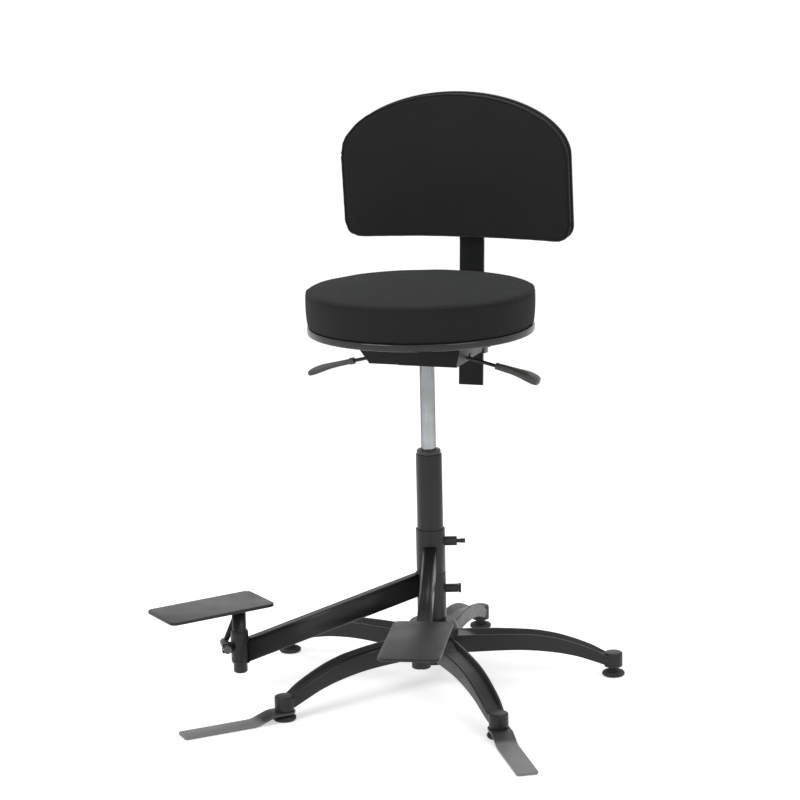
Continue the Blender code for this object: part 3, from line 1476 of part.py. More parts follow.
def main():
    clear_scene()
    stool = frame("stool", None, (COLUMN_X, COLUMN_Y, 0))
    make_star_base(stool)
    make_glides(stool)
    make_column(stool)
    make_piston_rod(stool)
    make_lower_rest(stool)
    make_upper_rest(stool)
    seat = frame("seat_frame", stool, rotation=(0, 0, SEAT_TURN))
    make_gas_cylinder(seat)
    make_housing(seat)
    make_lever(
        "height_lever", seat, -1, LEVER_INNER,
        HEIGHT_GRIP_START, HEIGHT_GRIP_LENGTH, HEIGHT_GRIP_THICKNESS,
    )
    make_lever(
        "back_lever", seat, 1, BACK_LEVER_INNER,
        BACK_GRIP_START, BACK_GRIP_LENGTH, BACK_GRIP_THICKNESS,
    )
    make_seat_plate(seat)
    make_cushion(seat)
    tilt = frame("tilt_frame", seat, (0, TILT_BACK, TILT_HEIGHT))
    post_place = (0, POST_BACK - TILT_BACK, POST_REFERENCE - TILT_HEIGHT)
    post_frame = frame("post_frame", tilt, post_place, (-POST_LEAN, 0, 0))
    make_bracket(tilt, post_frame)
    pad_frame = frame("pad_frame", post_frame, (0, 0, PAD_BEND), (PAD_TILT, 0, 0))
    make_back_post(post_frame, pad_frame)
    make_backrest(pad_frame)


main()
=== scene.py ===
"""Looks of the double bass stool: finishes, upholstery, base casting, welds and small fittings.

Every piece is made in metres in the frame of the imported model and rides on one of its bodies.
"""

import math

import bmesh
import bpy
from mathutils import Matrix, Vector, noise
from mathutils.bvhtree import BVHTree


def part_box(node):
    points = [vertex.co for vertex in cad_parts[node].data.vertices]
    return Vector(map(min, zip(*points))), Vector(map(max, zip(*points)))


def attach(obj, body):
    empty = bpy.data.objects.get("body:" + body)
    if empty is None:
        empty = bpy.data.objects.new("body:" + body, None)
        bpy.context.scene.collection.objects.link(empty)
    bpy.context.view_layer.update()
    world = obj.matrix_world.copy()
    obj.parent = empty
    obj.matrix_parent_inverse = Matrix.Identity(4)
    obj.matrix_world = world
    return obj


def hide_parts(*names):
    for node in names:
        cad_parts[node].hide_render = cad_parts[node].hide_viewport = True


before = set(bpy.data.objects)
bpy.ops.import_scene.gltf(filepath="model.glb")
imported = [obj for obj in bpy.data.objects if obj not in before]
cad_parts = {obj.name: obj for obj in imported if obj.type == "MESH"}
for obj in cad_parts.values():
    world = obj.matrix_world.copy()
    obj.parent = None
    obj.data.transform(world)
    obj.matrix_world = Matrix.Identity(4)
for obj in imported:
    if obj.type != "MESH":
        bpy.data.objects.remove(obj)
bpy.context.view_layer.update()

# Camera, from the column's axis: place, turn, tilt and roll, and a lens on a 36 mm sensor
CAMERA_PLACE = Vector((1.3125, -4.4025, 1.5494))
CAMERA_YAW = -0.30112
CAMERA_PITCH = 0.2127
CAMERA_ROLL = -0.0235
CAMERA_LENS = 111.6
CAMERA_SENSOR = 36.0

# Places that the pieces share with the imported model
COLUMN = Vector((0.0623, 0.0684, 0.0))
SEAT_TURN = math.radians(-2.4)
POST_LEAN = math.radians(4.5)
POST_BACK = 0.29
POST_REFERENCE = 0.8
PAD_BEND = 0.015
PAD_TILT = math.radians(10.0)
PAD_SIDE = -0.011

# Cloth of the seat and the backrest
CLOTH_VOXEL = 0.0055
CLOTH_RELAX = 8
CLOTH_FRAMES = 20
CLOTH_REACH = 0.006
CLOTH_PASSES = 14
CLOTH_SETTINGS = {
    "quality": 5, "mass": 0.3, "tension_stiffness": 12, "compression_stiffness": 12,
    "shear_stiffness": 6, "bending_stiffness": 0.6, "use_pressure": True,
    "uniform_pressure_force": 4.0,
}
THREAD_SIZES = (0.00012, 0.00032, 0.00036, 0.00032, 0.00012)
THREAD_LIFT = 0.0003
THREAD_LAG = (0.1, 0.25)

# Seat cushion; its shares run up its side and in from its seam to its middle
SEAT_RADIUS = 0.216
SEAT_SEAM_RADIUS = 0.215
SEAT_FOOT_RADIUS = 0.2122
SEAT_SEAM_DROP = 0.011
SEAT_SEGMENTS = 96
SEAT_CORD = 0.0009
SEAT_CORD_LIFT = 0.00018
SEAT_CORD_OUT = 0.0006
SEAT_CORD_UP = 0.0004
SEAT_CORD_STEPS = 240
SEAT_CROWN_SHARE = 0.35
SEAT_CLEARANCE = 0.001
SEAT_FOOT_INSET = 0.01
SEAT_FOOT_ROUND = 0.001
SEAT_BULGE_SKEW = 0.9
SEAT_SIDE_SHARES = (0.12, 0.28, 0.46, 0.64, 0.8, 0.92)
SEAT_TOP_SHARES = (0.985, 0.95, 0.9, 0.82, 0.7, 0.55, 0.38, 0.2)
SEAT_PLAIN_FOOT = 0.006
SEAT_HELD_FOOT = 0.008
SEAT_HELD_SEAM = (0.0032, 0.006)
SEAT_DENT = (0.0004, 0.0035)
SEAT_RIPPLE = (0.0007, (16, 16, 22))
SEAT_STITCH_OUT = 0.0022
SEAT_STITCH_DROP = 0.0052
SEAT_STITCH_STEPS = 360

# Welt: its uneven pull is two noises, each with its size and scale
WELT_INNER = 0.2053
WELT_OVERLAP = 0.0018
WELT_LIP = 0.0006
WELT_ROUND_SHARE = 0.95
WELT_STEPS = 288
WELT_PULL = ((0.0005, 9), (0.0002, 25))

# Staples, whose place, circle and turn each sway by a size at a rate
STAPLE_COUNT = 44
STAPLE_CIRCLE = 0.19
STAPLE_HALF = 0.005
STAPLE_LEG = 0.0008
STAPLE_WIRE = 0.0004
STAPLE_SWAY = ((0.15, 2.3), (0.003, 1.7), (0.25, 3.1))

# Backrest
BACK_HALF_WIDTH = 0.235
BACK_LOW = 0.017
BACK_HEIGHT = 0.2885
BACK_DOME = 0.1185
BACK_CORNER = 0.03
BACK_WRAP_RADIUS = 1.0
SHELL_BACK = 0.0043
SHELL_THICKNESS = 0.009
PAD_BACK = 0.0136
PAD_THICKNESS = 0.04
BAND_DEPTH = 0.0225
BACK_STEPS = 200
BACK_DOME_STEPS = 240
BACK_CORNER_STEPS = 24
BACK_STITCH_STEPS = 420
BACK_CENTRE = BACK_LOW + BACK_HEIGHT / 2
BACK_PIPING = 0.0021
BACK_PIPING_LIFT = 0.000735
BACK_STITCH_DROP = 0.0045
BACK_HELD_REAR = 0.006
BACK_HELD_SEAM = (0.0034, 0.005)
BACK_DENT = (0.0009, 0.004)
BACK_RIPPLE = (0.0008, (15, 24, 15))
BACK_PLAIN_REAR = 0.004
# Pad from its rear: size as a share of the outline, and depth from its back face
PAD_LAYERS = ((0, 0), (0.5, 0), (0.9, 0), (0.968, 0.0004), (0.976, 0.003), (0.982, 0.01))
PAD_RIM_SHARE = 0.984
PAD_PIPING_SHARE = 1.002
PAD_STITCH_SHARE = 0.987936
PAD_CROWN_SHARES = (0.974, 0.955, 0.92, 0.87, 0.79, 0.68, 0.53, 0.37, 0.2)
PAD_CROWN_SINK = 0.005
PAD_CROWN_POWERS = (2.6, 0.72)
# Shell: sizes as shares of the outline, with depths in from its rear and back from its front
SHELL_REAR_LAYERS = (
    (0, 0), (0.55, 0), (0.8, 0), (0.86, 0.0003), (0.885, 0.0016), (0.905, 0.0019), (0.925, 0.0016),
    (0.945, 0.0004), (0.965, 0), (0.978, 0.0008), (0.984, 0.0025), (0.985, 0.005),
)
SHELL_FRONT_LAYERS = ((0.983, 0.001), (0.976, 0), (0.9, 0), (0.5, 0), (0, 0))

# Base casting
LEG_COUNT = 5
FIRST_LEG_ANGLE = math.radians(18.0)
GLIDE_CIRCLE = 0.35
LEG_CROWN = 0.0958
LEG_ROOT_WIDTH = 0.05
LEG_RIM = 0.0052
LEG_GROOVE_DEPTH = 0.009
LEG_GROOVE_SLOPE = 0.003
LEG_EDGE = 0.0024
LEG_GROOVE_LEAST = 0.04
LEG_STEPS = 44
LEG_FILLETS = (0.003, 0.00247, 0.0019, 0.0019)
# Reach as a share of the glide circle, top and underside as shares of the crown,
# width as a share of the root width, groove as a share of its full depth
LEG_SHARES = (
    (0.103, 1.0, 0.632, 1.0, 0.05),
    (0.19, 1.0, 0.633, 0.99, 0.2),
    (0.26, 0.999, 0.637, 0.96, 1.0),
    (0.374, 0.993, 0.642, 0.92, 1.0),
    (0.48, 0.975, 0.636, 0.88, 1.0),
    (0.59, 0.938, 0.604, 0.85, 1.0),
    (0.7, 0.855, 0.545, 0.82, 1.0),
    (0.8, 0.735, 0.458, 0.79, 1.0),
    (0.89, 0.598, 0.343, 0.76, 0.8),
    (0.98, 0.436, 0.224, 0.66, 0.1),
)
# Hub's outline from the hole in its floor, outwards and up to the bore: radius and height
HUB_OUTLINE = (
    (0.012, 0.045), (0.05, 0.045), (0.05, 0.11), (0.043, 0.121), (0.0254, 0.121),
    (0.0254, 0.05), (0.012, 0.05),
)
BOSS_RADIUS = 0.018
BOSS_BOTTOM = 0.0188
BOSS_TOP = 0.047
BOSS_CAP = 0.0026
STEM_HOLE = 0.0054
HUB_FILLETS = (0.0004, 0.003, 0.003, 0.0022, 0.0008, 0.0004, 0.0004)
BOSS_FILLETS = (0.0004, 0.0012, 0.004, 0.0004)
CAST_FILLET_STEPS = 4
HUB_SEGMENTS = 96
BOSS_SEGMENTS = 40

# Foot rest arms
ARM_HEIGHT = 0.0437
ARM_WIDTH = 0.025
ARM_CORNER = 0.006
ARM_SLOPE = math.radians(17.2)
SLEEVE_RADIUS = 0.028
END_SLEEVE_RADIUS = 0.017
LOWER_ARM = (math.radians(-152.0), 0.375, 0.195)
UPPER_ARM = (math.radians(-77.0), 0.338, 0.252)
WELD_RADIUS = 0.0014
WELD_RIPPLE = 0.0002
WELD_PITCH = 0.003
WELD_SINK_SHARE = 0.3
WELD_WIDEST_SHARE = 0.97
WELD_STEP = 0.001

# Lever grips, in the levers' own frames
LEVER_PIVOT = 0.06
LEVER_PIVOT_HEIGHT = 0.6465
LEVER_SLOPE = math.radians(13.5)
GRIP_WIDTH = 0.03
GRIP_DROOP = 0.006
GRIP_STEPS = 40
GRIP_SIDES = 28
GRIP_SQUARENESS = 0.72
GRIP_CROWDING = 1.25
GRIP_LAST_REACH = 0.985
GRIP_TIP_SHARE = 0.55
COLLAR_OUTLINE = ((0.0037, 0.0), (0.0066, 0.0), (0.0066, 0.01), (0.0037, 0.01))
COLLAR_OVERLAP = 0.0085
COLLAR_FILLETS = (0.0003, 0.001, 0.001, 0.0003)
# Start, length and thickness of each grip
LEFT_GRIP = (0.0965, 0.09, 0.01)
RIGHT_GRIP = (0.087, 0.081, 0.013)
# Reach as a share of the length, then shares of the width, the thickness and the droop
GRIP_SHARES = (
    (0.0, 0.36, 1.0, 0.0),
    (0.1, 0.4, 1.05, 0.0),
    (0.3, 0.5, 1.08, 0.02),
    (0.5, 0.72, 1.22, 0.12),
    (0.7, 0.94, 1.45, 0.35),
    (0.86, 1.0, 1.42, 0.68),
    (0.95, 0.9, 1.15, 0.9),
    (1.0, 0.6, 0.6, 1.0),
)

# Pull knob on the lock pin: its side of the column, then its radius at reaches from the axis
PIN_SIDE = math.radians(16.6)
PIN_OUTLINE = ((0.0032, 0.0512), (0.0032, 0.056), (0.0044, 0.0575), (0.0044, 0.0668))
PIN_FILLETS = (0.0004, 0.0004, 0.0005, 0.0012)

# Heights between which a painted shade on the floor bars' sloping ends fades out towards their level part,
# and how ragged its edge is
BAR_SHADE_START = 0.0078
BAR_SHADE_FULL = 0.0125
BAR_SHADE_RAGGING = 0.002

# Mesh limits
FACE_GAP = 0.0002
UPRIGHT = 0.05
SMALL_SEGMENTS = 32
SMOOTH_ANGLE = math.radians(40.0)
CAD_SMOOTH_ANGLE = math.radians(28.0)
CAD_FLAT_ANGLE = math.radians(0.6)
CAD_WELD = 0.00001
CAD_BEVEL_STEPS = 3

# Studio: each lamp's name, place, size and power
LAMP_TARGET = Vector((0.0, 0.0, 0.6))
LAMPS = (
    ("key", (-1.6, -2.6, 2.9), 1.6, 55.0),
    ("fill", (2.6, -1.4, 1.9), 1.4, 16.0),
    ("top", (0.2, 0.6, 3.2), 1.8, 20.0),
)
WORLD_LIGHT = 0.55
FLOOR_HALF = 60.0
FLOOR_DROP = 0.0004
FLOOR_GLOW = 0.5

# Colours of the coats: the base's and arms', and for the bars a dark painted shade on their sloping ends,
# their own grey and a lighter grey
BLACK_COAT = ((0.012, 0.0126, 0.012), (0.019, 0.02, 0.019))
BAR_COAT_AND_PAINTED_SHADE = ((0.03, 0.031, 0.03), (0.155, 0.158, 0.154), (0.19, 0.193, 0.188))

# CAD nodes that stay: their finish, the width of their broken edges and their names
DRESSED = (
    ("coat", 0.0, "lower_arm upper_arm lower_post upper_post"),
    ("coat", 0.0004, "lower_foot_plate upper_foot_plate"),
    ("coat", 0.0006, "column_tube lower_sleeve upper_sleeve lower_end_sleeve upper_end_sleeve"),
    ("enamel", 0.0004, "back_post"),
    ("enamel", 0.0008, "mechanism_housing"),
    ("bar", 0.0008, "outrigger_left outrigger_right"),
    ("chrome", 0.0006, "gas_cylinder"),
    ("steel", 0.0003, "rod_clip"),
    ("steel", 0.0004, "thrust_bearing piston_rod release_button tilt_pin"),
    ("steel", 0.0005, "seat_bolt_1 seat_bolt_2 seat_bolt_3 seat_bolt_4 backrest_screw_1 backrest_screw_2"),
    ("dull", 0.0007, "lower_clamp_bolt upper_clamp_bolt"),
    ("dark_steel", 0.0004, "upper_lock_pin height_lever_rod back_lever_rod"),
    ("dark_steel", 0.0005, "glide_nut_1 glide_nut_2 glide_nut_3 seat_plate"),
    ("dark_steel", 0.0006, "lower_lock_knob"),
    ("dark_steel", 0.0008, "back_bracket"),
    ("plastic", 0.0003, "lower_liner upper_liner lower_end_bush upper_end_bush"),
    ("plastic", 0.0005, "guide_bush"),
    ("plastic", 0.001, "lower_clamp_lever upper_clamp_lever post_knob"),
    ("rubber", 0.0006, "glide_1 glide_2 glide_3 glide_4 glide_5"),
    ("plywood", 0.0006, "seat_board"),
)


# Frames of the moving groups at rest


def column_matrix(angle):
    return Matrix.Translation(COLUMN) @ Matrix.Rotation(angle, 4, "Z")


def seat_matrix():
    return column_matrix(SEAT_TURN)


def post_matrix():
    place = Matrix.Translation((0, POST_BACK, POST_REFERENCE))
    return seat_matrix() @ place @ Matrix.Rotation(-POST_LEAN, 4, "X")


def pad_matrix():
    bend = Matrix.Translation((0, 0, PAD_BEND)) @ Matrix.Rotation(PAD_TILT, 4, "X")
    return post_matrix() @ bend @ Matrix.Translation((PAD_SIDE, 0, 0))


def lever_matrix(side):
    turn = math.pi if side < 0 else 0
    place = Matrix.Translation((side * LEVER_PIVOT, 0, LEVER_PIVOT_HEIGHT))
    tilt = Matrix.Rotation(turn, 4, "Z") @ Matrix.Rotation(LEVER_SLOPE, 4, "Y")
    return seat_matrix() @ place @ tilt


# Node helpers for the materials


def assign(thing, settings):
    for name, value in settings.items():
        setattr(thing, name, value)


class Nodes:
    """A short way to add nodes and links to one material, or to the world."""

    def __init__(self, owner, shader="Principled BSDF"):
        owner.use_nodes = True
        self.owner = owner
        self.tree = owner.node_tree
        self.shader = self.tree.nodes[shader]
        self.place = self.add("ShaderNodeTexCoord").outputs["Object"]

    def add(self, kind, **settings):
        node = self.tree.nodes.new(kind)
        assign(node, settings)
        return node

    def link(self, source, target):
        """Links a socket to another, or sets that one to a number or a colour."""
        if isinstance(source, tuple):
            target.default_value = (*source, 1.0)
        elif isinstance(source, (int, float)):
            target.default_value = source
        else:
            self.tree.links.new(source, target)

    def set(self, node, **values):
        for name, value in values.items():
            node.inputs[name.replace("_", " ")].default_value = value
        return node

    def noise(self, scale, detail, vector=None):
        node = self.add("ShaderNodeTexNoise")
        self.set(node, Scale=scale, Detail=detail, Roughness=0.55)
        self.link(vector or self.place, node.inputs["Vector"])
        return node.outputs["Fac"]

    def stretched(self, *scales):
        node = self.set(self.add("ShaderNodeMapping"), Scale=scales)
        self.link(self.place, node.inputs["Vector"])
        return node.outputs["Vector"]

    def split(self, vector):
        """X, Y and Z of a vector."""
        node = self.add("ShaderNodeSeparateXYZ")
        self.link(vector, node.inputs["Vector"])
        return [node.outputs[axis] for axis in "XYZ"]

    def maths(self, operation, *values):
        node = self.add("ShaderNodeMath", operation=operation)
        for value, socket in zip(values, node.inputs):
            self.link(value, socket)
        return node.outputs["Value"]

    def spread(self, value, low, high, out_low=0.0, out_high=1.0):
        node = self.add("ShaderNodeMapRange")
        self.link(value, node.inputs["Value"])
        self.set(node, From_Min=low, From_Max=high, To_Min=out_low, To_Max=out_high)
        return node.outputs["Result"]

    def patches(self, scale, detail, low, high, out_low=0.0, out_high=1.0):
        """Noise of a scale and detail, spread from one range to another."""
        return self.spread(self.noise(scale, detail), low, high, out_low, out_high)

    def mix(self, factor, first, second):
        """A colour between two, each a colour or a socket."""
        node = self.add("ShaderNodeMix", data_type="RGBA")
        self.link(factor, node.inputs["Factor"])
        sockets = [socket for socket in node.inputs if socket.type == "RGBA"]
        self.link(first, sockets[0])
        self.link(second, sockets[1])
        return [socket for socket in node.outputs if socket.type == "RGBA"][0]

    def bump(self, height, strength, distance):
        node = self.add("ShaderNodeBump")
        self.set(node, Strength=strength, Distance=distance)
        self.link(height, node.inputs["Height"])
        return node.outputs["Normal"]

    def seen(self):
        """1 for a ray from the camera, straight or by way of mirrors and glass, otherwise 0."""
        path = self.add("ShaderNodeLightPath").outputs
        mirrored = self.maths("MAXIMUM", path["Is Glossy Ray"], path["Is Transmission Ray"])
        return self.maths("MAXIMUM", path["Is Camera Ray"], mirrored)

    def finish(self, colour, roughness, normal=None):
        self.link(colour, self.shader.inputs["Base Color"])
        self.link(roughness, self.shader.inputs["Roughness"])
        if normal is not None:
            self.link(normal, self.shader.inputs["Normal"])
        return self.owner


def new_material(name):
    return Nodes(bpy.data.materials.new(name))


def worn(nodes, colour, bare, amount):
    """The colour with lighter, rubbed edges where the surface is convex and the noise is high."""
    point = nodes.add("ShaderNodeNewGeometry").outputs["Pointiness"]
    edge = nodes.spread(point, 0.54, 0.62)
    patch = nodes.patches(60.0, 4.0, 0.48, 0.66, 0.0, amount)
    return nodes.mix(nodes.maths("MULTIPLY", edge, patch), colour, bare)


def clouded(nodes, colour, light):
    return nodes.mix(nodes.patches(7.0, 5.0, 0.35, 0.7), colour, light)


def powdered(nodes, tint, roughness, height):
    """Ends a material as a powder coat of a roughness, with its grain as height."""
    gloss = nodes.patches(18.0, 4.0, 0.3, 0.7, roughness - 0.05, roughness + 0.07)
    return nodes.finish(tint, gloss, nodes.bump(height, 0.35, 0.00035))


def coated(name, colour, light, roughness, grain, rub=0.0, mirror=0.3):
    """Powder-coated steel: a fine orange-peel grain, faint dust and, with rub, rubbed edges."""
    nodes = new_material(name)
    tint = clouded(nodes, colour, light)
    fine = nodes.maths("MULTIPLY", nodes.noise(grain * 3.1, 1.0), 0.4)
    height = nodes.maths("ADD", nodes.noise(grain, 2.0), fine)
    nodes.set(nodes.shader, Specular_IOR_Level=mirror)
    if rub > 0:
        rubbed = tuple(value * 3.0 + 0.02 for value in light)
        tint = worn(nodes, tint, rubbed, rub)
    return powdered(nodes, tint, roughness, height)


def ramp_painted_shade(name, coat, bare, light, roughness, grain):
    """A grey coat that carries a painted shade, dark on the floor bars' sloping ends and fading out where
    they lie level.
    """
    nodes = new_material(name)
    ragged_edge = nodes.maths("MULTIPLY", nodes.noise(60.0, 4.0), BAR_SHADE_RAGGING)
    height = nodes.maths("ADD", nodes.split(nodes.place)[2], ragged_edge)
    # coat is the dark painted shade of the sloping ends, bare is the bars' own grey
    shade_share = nodes.spread(height, BAR_SHADE_START, BAR_SHADE_FULL)
    tint = nodes.mix(shade_share, clouded(nodes, bare, light), coat)
    return powdered(nodes, tint, roughness, nodes.noise(grain, 2.0))


def plastic(name, colour, light, roughness, grain, mirror=0.5):
    """Moulded plastic with an etched grain."""
    nodes = new_material(name)
    nodes.set(nodes.shader, Specular_IOR_Level=mirror)
    cloud = nodes.patches(25.0, 4.0, 0.3, 0.7)
    cells = nodes.add("ShaderNodeTexVoronoi")
    nodes.set(cells, Scale=grain)
    nodes.link(nodes.place, cells.inputs["Vector"])
    gloss = nodes.patches(40.0, 3.0, 0.3, 0.7, roughness - 0.05, roughness + 0.06)
    normal = nodes.bump(cells.outputs["Distance"], 0.25, 0.0002)
    return nodes.finish(nodes.mix(cloud, colour, light), gloss, normal)


def metal(name, colour, dark, roughness, lines):
    """Bare or plated metal with fine drawn lines and a slight haze."""
    nodes = new_material(name)
    nodes.set(nodes.shader, Metallic=1.0, Specular_Tint=(0.25, 0.25, 0.25, 1.0))
    haze = nodes.patches(30.0, 5.0, 0.35, 0.7)
    drawn = nodes.noise(1.0, 3.0, nodes.stretched(*lines))
    streaks = nodes.spread(drawn, 0.3, 0.7, roughness * 0.8, roughness * 1.3)
    gloss = nodes.maths("ADD", streaks, nodes.spread(haze, 0.0, 1.0, 0.0, 0.05))
    return nodes.finish(nodes.mix(haze, colour, dark), gloss, nodes.bump(drawn, 0.06, 0.0001))


def rubber(name, colour, light):
    """Dull rubber with dust on it."""
    nodes = new_material(name)
    dust = nodes.patches(45.0, 6.0, 0.45, 0.75)
    gloss = nodes.patches(80.0, 3.0, 0.3, 0.7, 0.62, 0.85)
    normal = nodes.bump(nodes.noise(900.0, 2.0), 0.3, 0.0003)
    return nodes.finish(nodes.mix(dust, colour, light), gloss, normal)


def weave_height(nodes, first, second, pitch):
    """Threads of a plain weave over two directions of the surface, from 0 to 1."""
    waves = []
    threads = []
    for socket in (first, second):
        turn = nodes.maths("MULTIPLY", socket, math.tau / pitch)
        waves.append(nodes.maths("SINE", turn))
        half = nodes.maths("SINE", nodes.maths("MULTIPLY", turn, 0.5))
        threads.append(nodes.maths("ABSOLUTE", half))
    over = nodes.spread(nodes.maths("MULTIPLY", *waves), -0.4, 0.4)
    warp = nodes.maths("MULTIPLY", threads[0], over)
    weft = nodes.maths("MULTIPLY", threads[1], nodes.maths("SUBTRACT", 1.0, over))
    return nodes.maths("ADD", warp, weft)


def upholstery(name, colour, light, pitch):
    """Black woven wool over foam: weave on whichever plane faces out, fuzz, lint and sheen."""
    nodes = new_material(name)
    drift = nodes.set(nodes.add("ShaderNodeTexNoise"), Scale=30.0, Detail=2.0)
    nodes.link(nodes.place, drift.inputs["Vector"])
    wobble = nodes.set(nodes.add("ShaderNodeVectorMath", operation="SCALE"), Scale=0.0012)
    nodes.link(drift.outputs["Color"], wobble.inputs[0])
    moved = nodes.add("ShaderNodeVectorMath", operation="ADD")
    nodes.link(nodes.place, moved.inputs[0])
    nodes.link(wobble.outputs["Vector"], moved.inputs[1])
    x, y, z = nodes.split(moved.outputs["Vector"])
    facing = nodes.split(nodes.add("ShaderNodeTexCoord").outputs["Normal"])
    sides = [nodes.maths("ABSOLUTE", side) for side in facing]
    shares = [nodes.maths("POWER", side, 6.0) for side in sides]
    total = nodes.maths("ADD", nodes.maths("ADD", *shares[:2]), shares[2])
    height = None
    for share, pair in zip(shares, ((y, z), (x, z), (x, y))):
        part = nodes.maths("MULTIPLY", share, weave_height(nodes, *pair, pitch))
        height = part if height is None else nodes.maths("ADD", height, part)
    weave = nodes.maths("DIVIDE", height, nodes.maths("MAXIMUM", total, 0.001))
    fuzz = nodes.noise(1400.0, 3.0)
    cloud = nodes.noise(9.0, 5.0)
    tint = nodes.mix(nodes.spread(weave, 0.15, 0.95), colour, light)
    soft = nodes.mix(nodes.spread(cloud, 0.35, 0.7, 0.0, 0.35), tint, light)
    lint = nodes.patches(420.0, 2.0, 0.72, 0.8, 0.0, 0.35)
    nodes.set(nodes.shader, Sheen_Weight=0.07, Sheen_Roughness=0.45, Specular_IOR_Level=0.16)
    nodes.set(nodes.shader, Sheen_Tint=(0.55, 0.6, 0.58, 1.0))
    flecked = nodes.mix(lint, soft, (0.045, 0.048, 0.046))
    relief = nodes.maths("ADD", weave, nodes.maths("MULTIPLY", fuzz, 0.6))
    gloss = nodes.spread(fuzz, 0.3, 0.7, 0.82, 0.98)
    return nodes.finish(flecked, gloss, nodes.bump(relief, 0.55, 0.0004))


def plywood(name):
    """Raw plywood: long grain over wide, darker rings."""
    nodes = new_material(name)
    grain = nodes.noise(1.0, 6.0, nodes.stretched(14.0, 180.0, 60.0))
    rings = nodes.noise(1.0, 3.0, nodes.stretched(3.0, 22.0, 8.0))
    streaks = nodes.spread(grain, 0.35, 0.68)
    tone = nodes.mix(streaks, (0.42, 0.28, 0.16), (0.26, 0.16, 0.08))
    deep = nodes.mix(nodes.spread(rings, 0.4, 0.65, 0.0, 0.5), tone, (0.2, 0.12, 0.06))
    gloss = nodes.spread(grain, 0.3, 0.7, 0.55, 0.75)
    return nodes.finish(deep, gloss, nodes.bump(grain, 0.25, 0.0004))


# Mesh helpers


def modify(piece, kind, **settings):
    assign(piece.modifiers.new(kind.lower(), kind), settings)


def mesh_piece(name, shape):
    """Ends a bmesh as an object of the scene."""
    bmesh.ops.recalc_face_normals(shape, faces=shape.faces)
    mesh = bpy.data.meshes.new(name)
    shape.to_mesh(mesh)
    shape.free()
    piece = bpy.data.objects.new(name, mesh)
    bpy.context.collection.objects.link(piece)
    return piece


def to_object(name, shape, matrix, material, body):
    """Ends a bmesh as a piece that rides on a body and takes its finish from a slot."""
    piece = mesh_piece(name, shape)
    mesh = piece.data
    mesh.transform(matrix)
    mesh.shade_smooth()
    mesh.set_sharp_from_angle(angle=SMOOTH_ANGLE)
    mesh.materials.append(material)
    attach(piece, body)
    return piece


def polar(radius, angle, height):
    return Vector((radius * math.cos(angle), radius * math.sin(angle), height))


def ring_path(radius, height, count):
    return [polar(radius, math.tau * step / count, height) for step in range(count)]


def bridge(shape, first, second):
    count = max(len(first), len(second))
    if count == 1:
        return
    for step in range(count):
        ahead = step + 1
        corners = [first[step % len(first)], first[ahead % len(first)]]
        corners += [second[ahead % len(second)], second[step % len(second)]]
        shape.faces.new(list(dict.fromkeys(corners)))


def skin(shape, rings, closed=False):
    """Faces from ring to ring; closed joins the last to the first, and open ends are capped."""
    for index in range(0 if closed else 1, len(rings)):
        bridge(shape, rings[index - 1], rings[index])
    if not closed and len(rings[0]) > 1:
        shape.faces.new(rings[0])
        shape.faces.new(rings[-1])


def add_turned(shape, profile, segments):
    """A closed outline of (radius, height) points turned round Z."""
    rings = []
    for radius, height in profile:
        ring = ring_path(radius, height, segments)
        rings.append([shape.verts.new(point) for point in (ring if radius > 0 else ring[:1])])
    skin(shape, rings, closed=True)


def add_loft(shape, sections):
    skin(shape, [[shape.verts.new(point) for point in section] for section in sections])


def filleted(points, radius, steps):
    """A closed outline with its corners rounded; radius may be one value or one per corner."""
    rounded = []
    count = len(points)
    for index, corner in enumerate(points):
        here = Vector(corner)
        before = Vector(points[index - 1]) - here
        after = Vector(points[(index + 1) % count]) - here
        reach = radius if isinstance(radius, float) else radius[index]
        reach = min(reach, before.length * 0.45, after.length * 0.45)
        start = here + before.normalized() * reach
        end = here + after.normalized() * reach
        for step in range(steps + 1):
            share = step / steps
            rounded.append(start.lerp(here, share).lerp(here.lerp(end, share), share))
    return rounded


def add_tube(shape, points, radius, sides, closed=True):
    """A round tube along points; radius may be one value or one per point."""
    rings = []
    last = len(points) - 1
    for index, here in enumerate(points):
        if closed:
            ahead = points[index + 1 if index < last else 0] - points[index - 1]
        else:
            ahead = points[min(index + 1, last)] - points[max(index - 1, 0)]
        ahead.normalize()
        side = ahead.cross(Vector((0, 0, 1)))
        if side.length < UPRIGHT:
            side = ahead.cross(Vector((1, 0, 0)))
        side.normalize()
        top = side.cross(ahead)
        size = radius if isinstance(radius, float) else radius[index]
        ring = []
        for step in range(sides):
            angle = math.tau * step / sides
            offset = side * math.cos(angle) + top * math.sin(angle)
            ring.append(shape.verts.new(here + offset * size))
        rings.append(ring)
    skin(shape, rings, closed)


def smooth_between(table, reach):
    """The row of a table of shares at a reach, on a smooth curve through the rows."""
    last = len(table) - 2
    index = max(i for i in range(last + 1) if table[i][0] <= reach or i == 0)
    rows = [table[max(0, min(len(table) - 1, index + step))] for step in (-1, 0, 1, 2)]
    span = (reach - rows[1][0]) / (rows[2][0] - rows[1][0])
    values = []
    for a, b, c, d in zip(*(row[1:] for row in rows)):
        lift = 0.5 * (2 * b + (c - a) * span + (2 * a - 5 * b + 4 * c - d) * span ** 2)
        values.append(lift + 0.5 * (3 * b - 3 * c + d - a) * span ** 3)
    return values


# Cloth


def evaluated_mesh(piece):
    graph = bpy.context.evaluated_depsgraph_get()
    graph.update()
    return bpy.data.meshes.new_from_object(piece.evaluated_get(graph))


def remeshed(name, shape):
    """A closed bmesh remade with small, even faces."""
    piece = mesh_piece(name, shape)
    modify(piece, "REMESH", mode="VOXEL", voxel_size=CLOTH_VOXEL)
    modify(piece, "SMOOTH", factor=0.5, iterations=CLOTH_RELAX)
    piece.data = evaluated_mesh(piece)
    piece.modifiers.clear()
    return piece


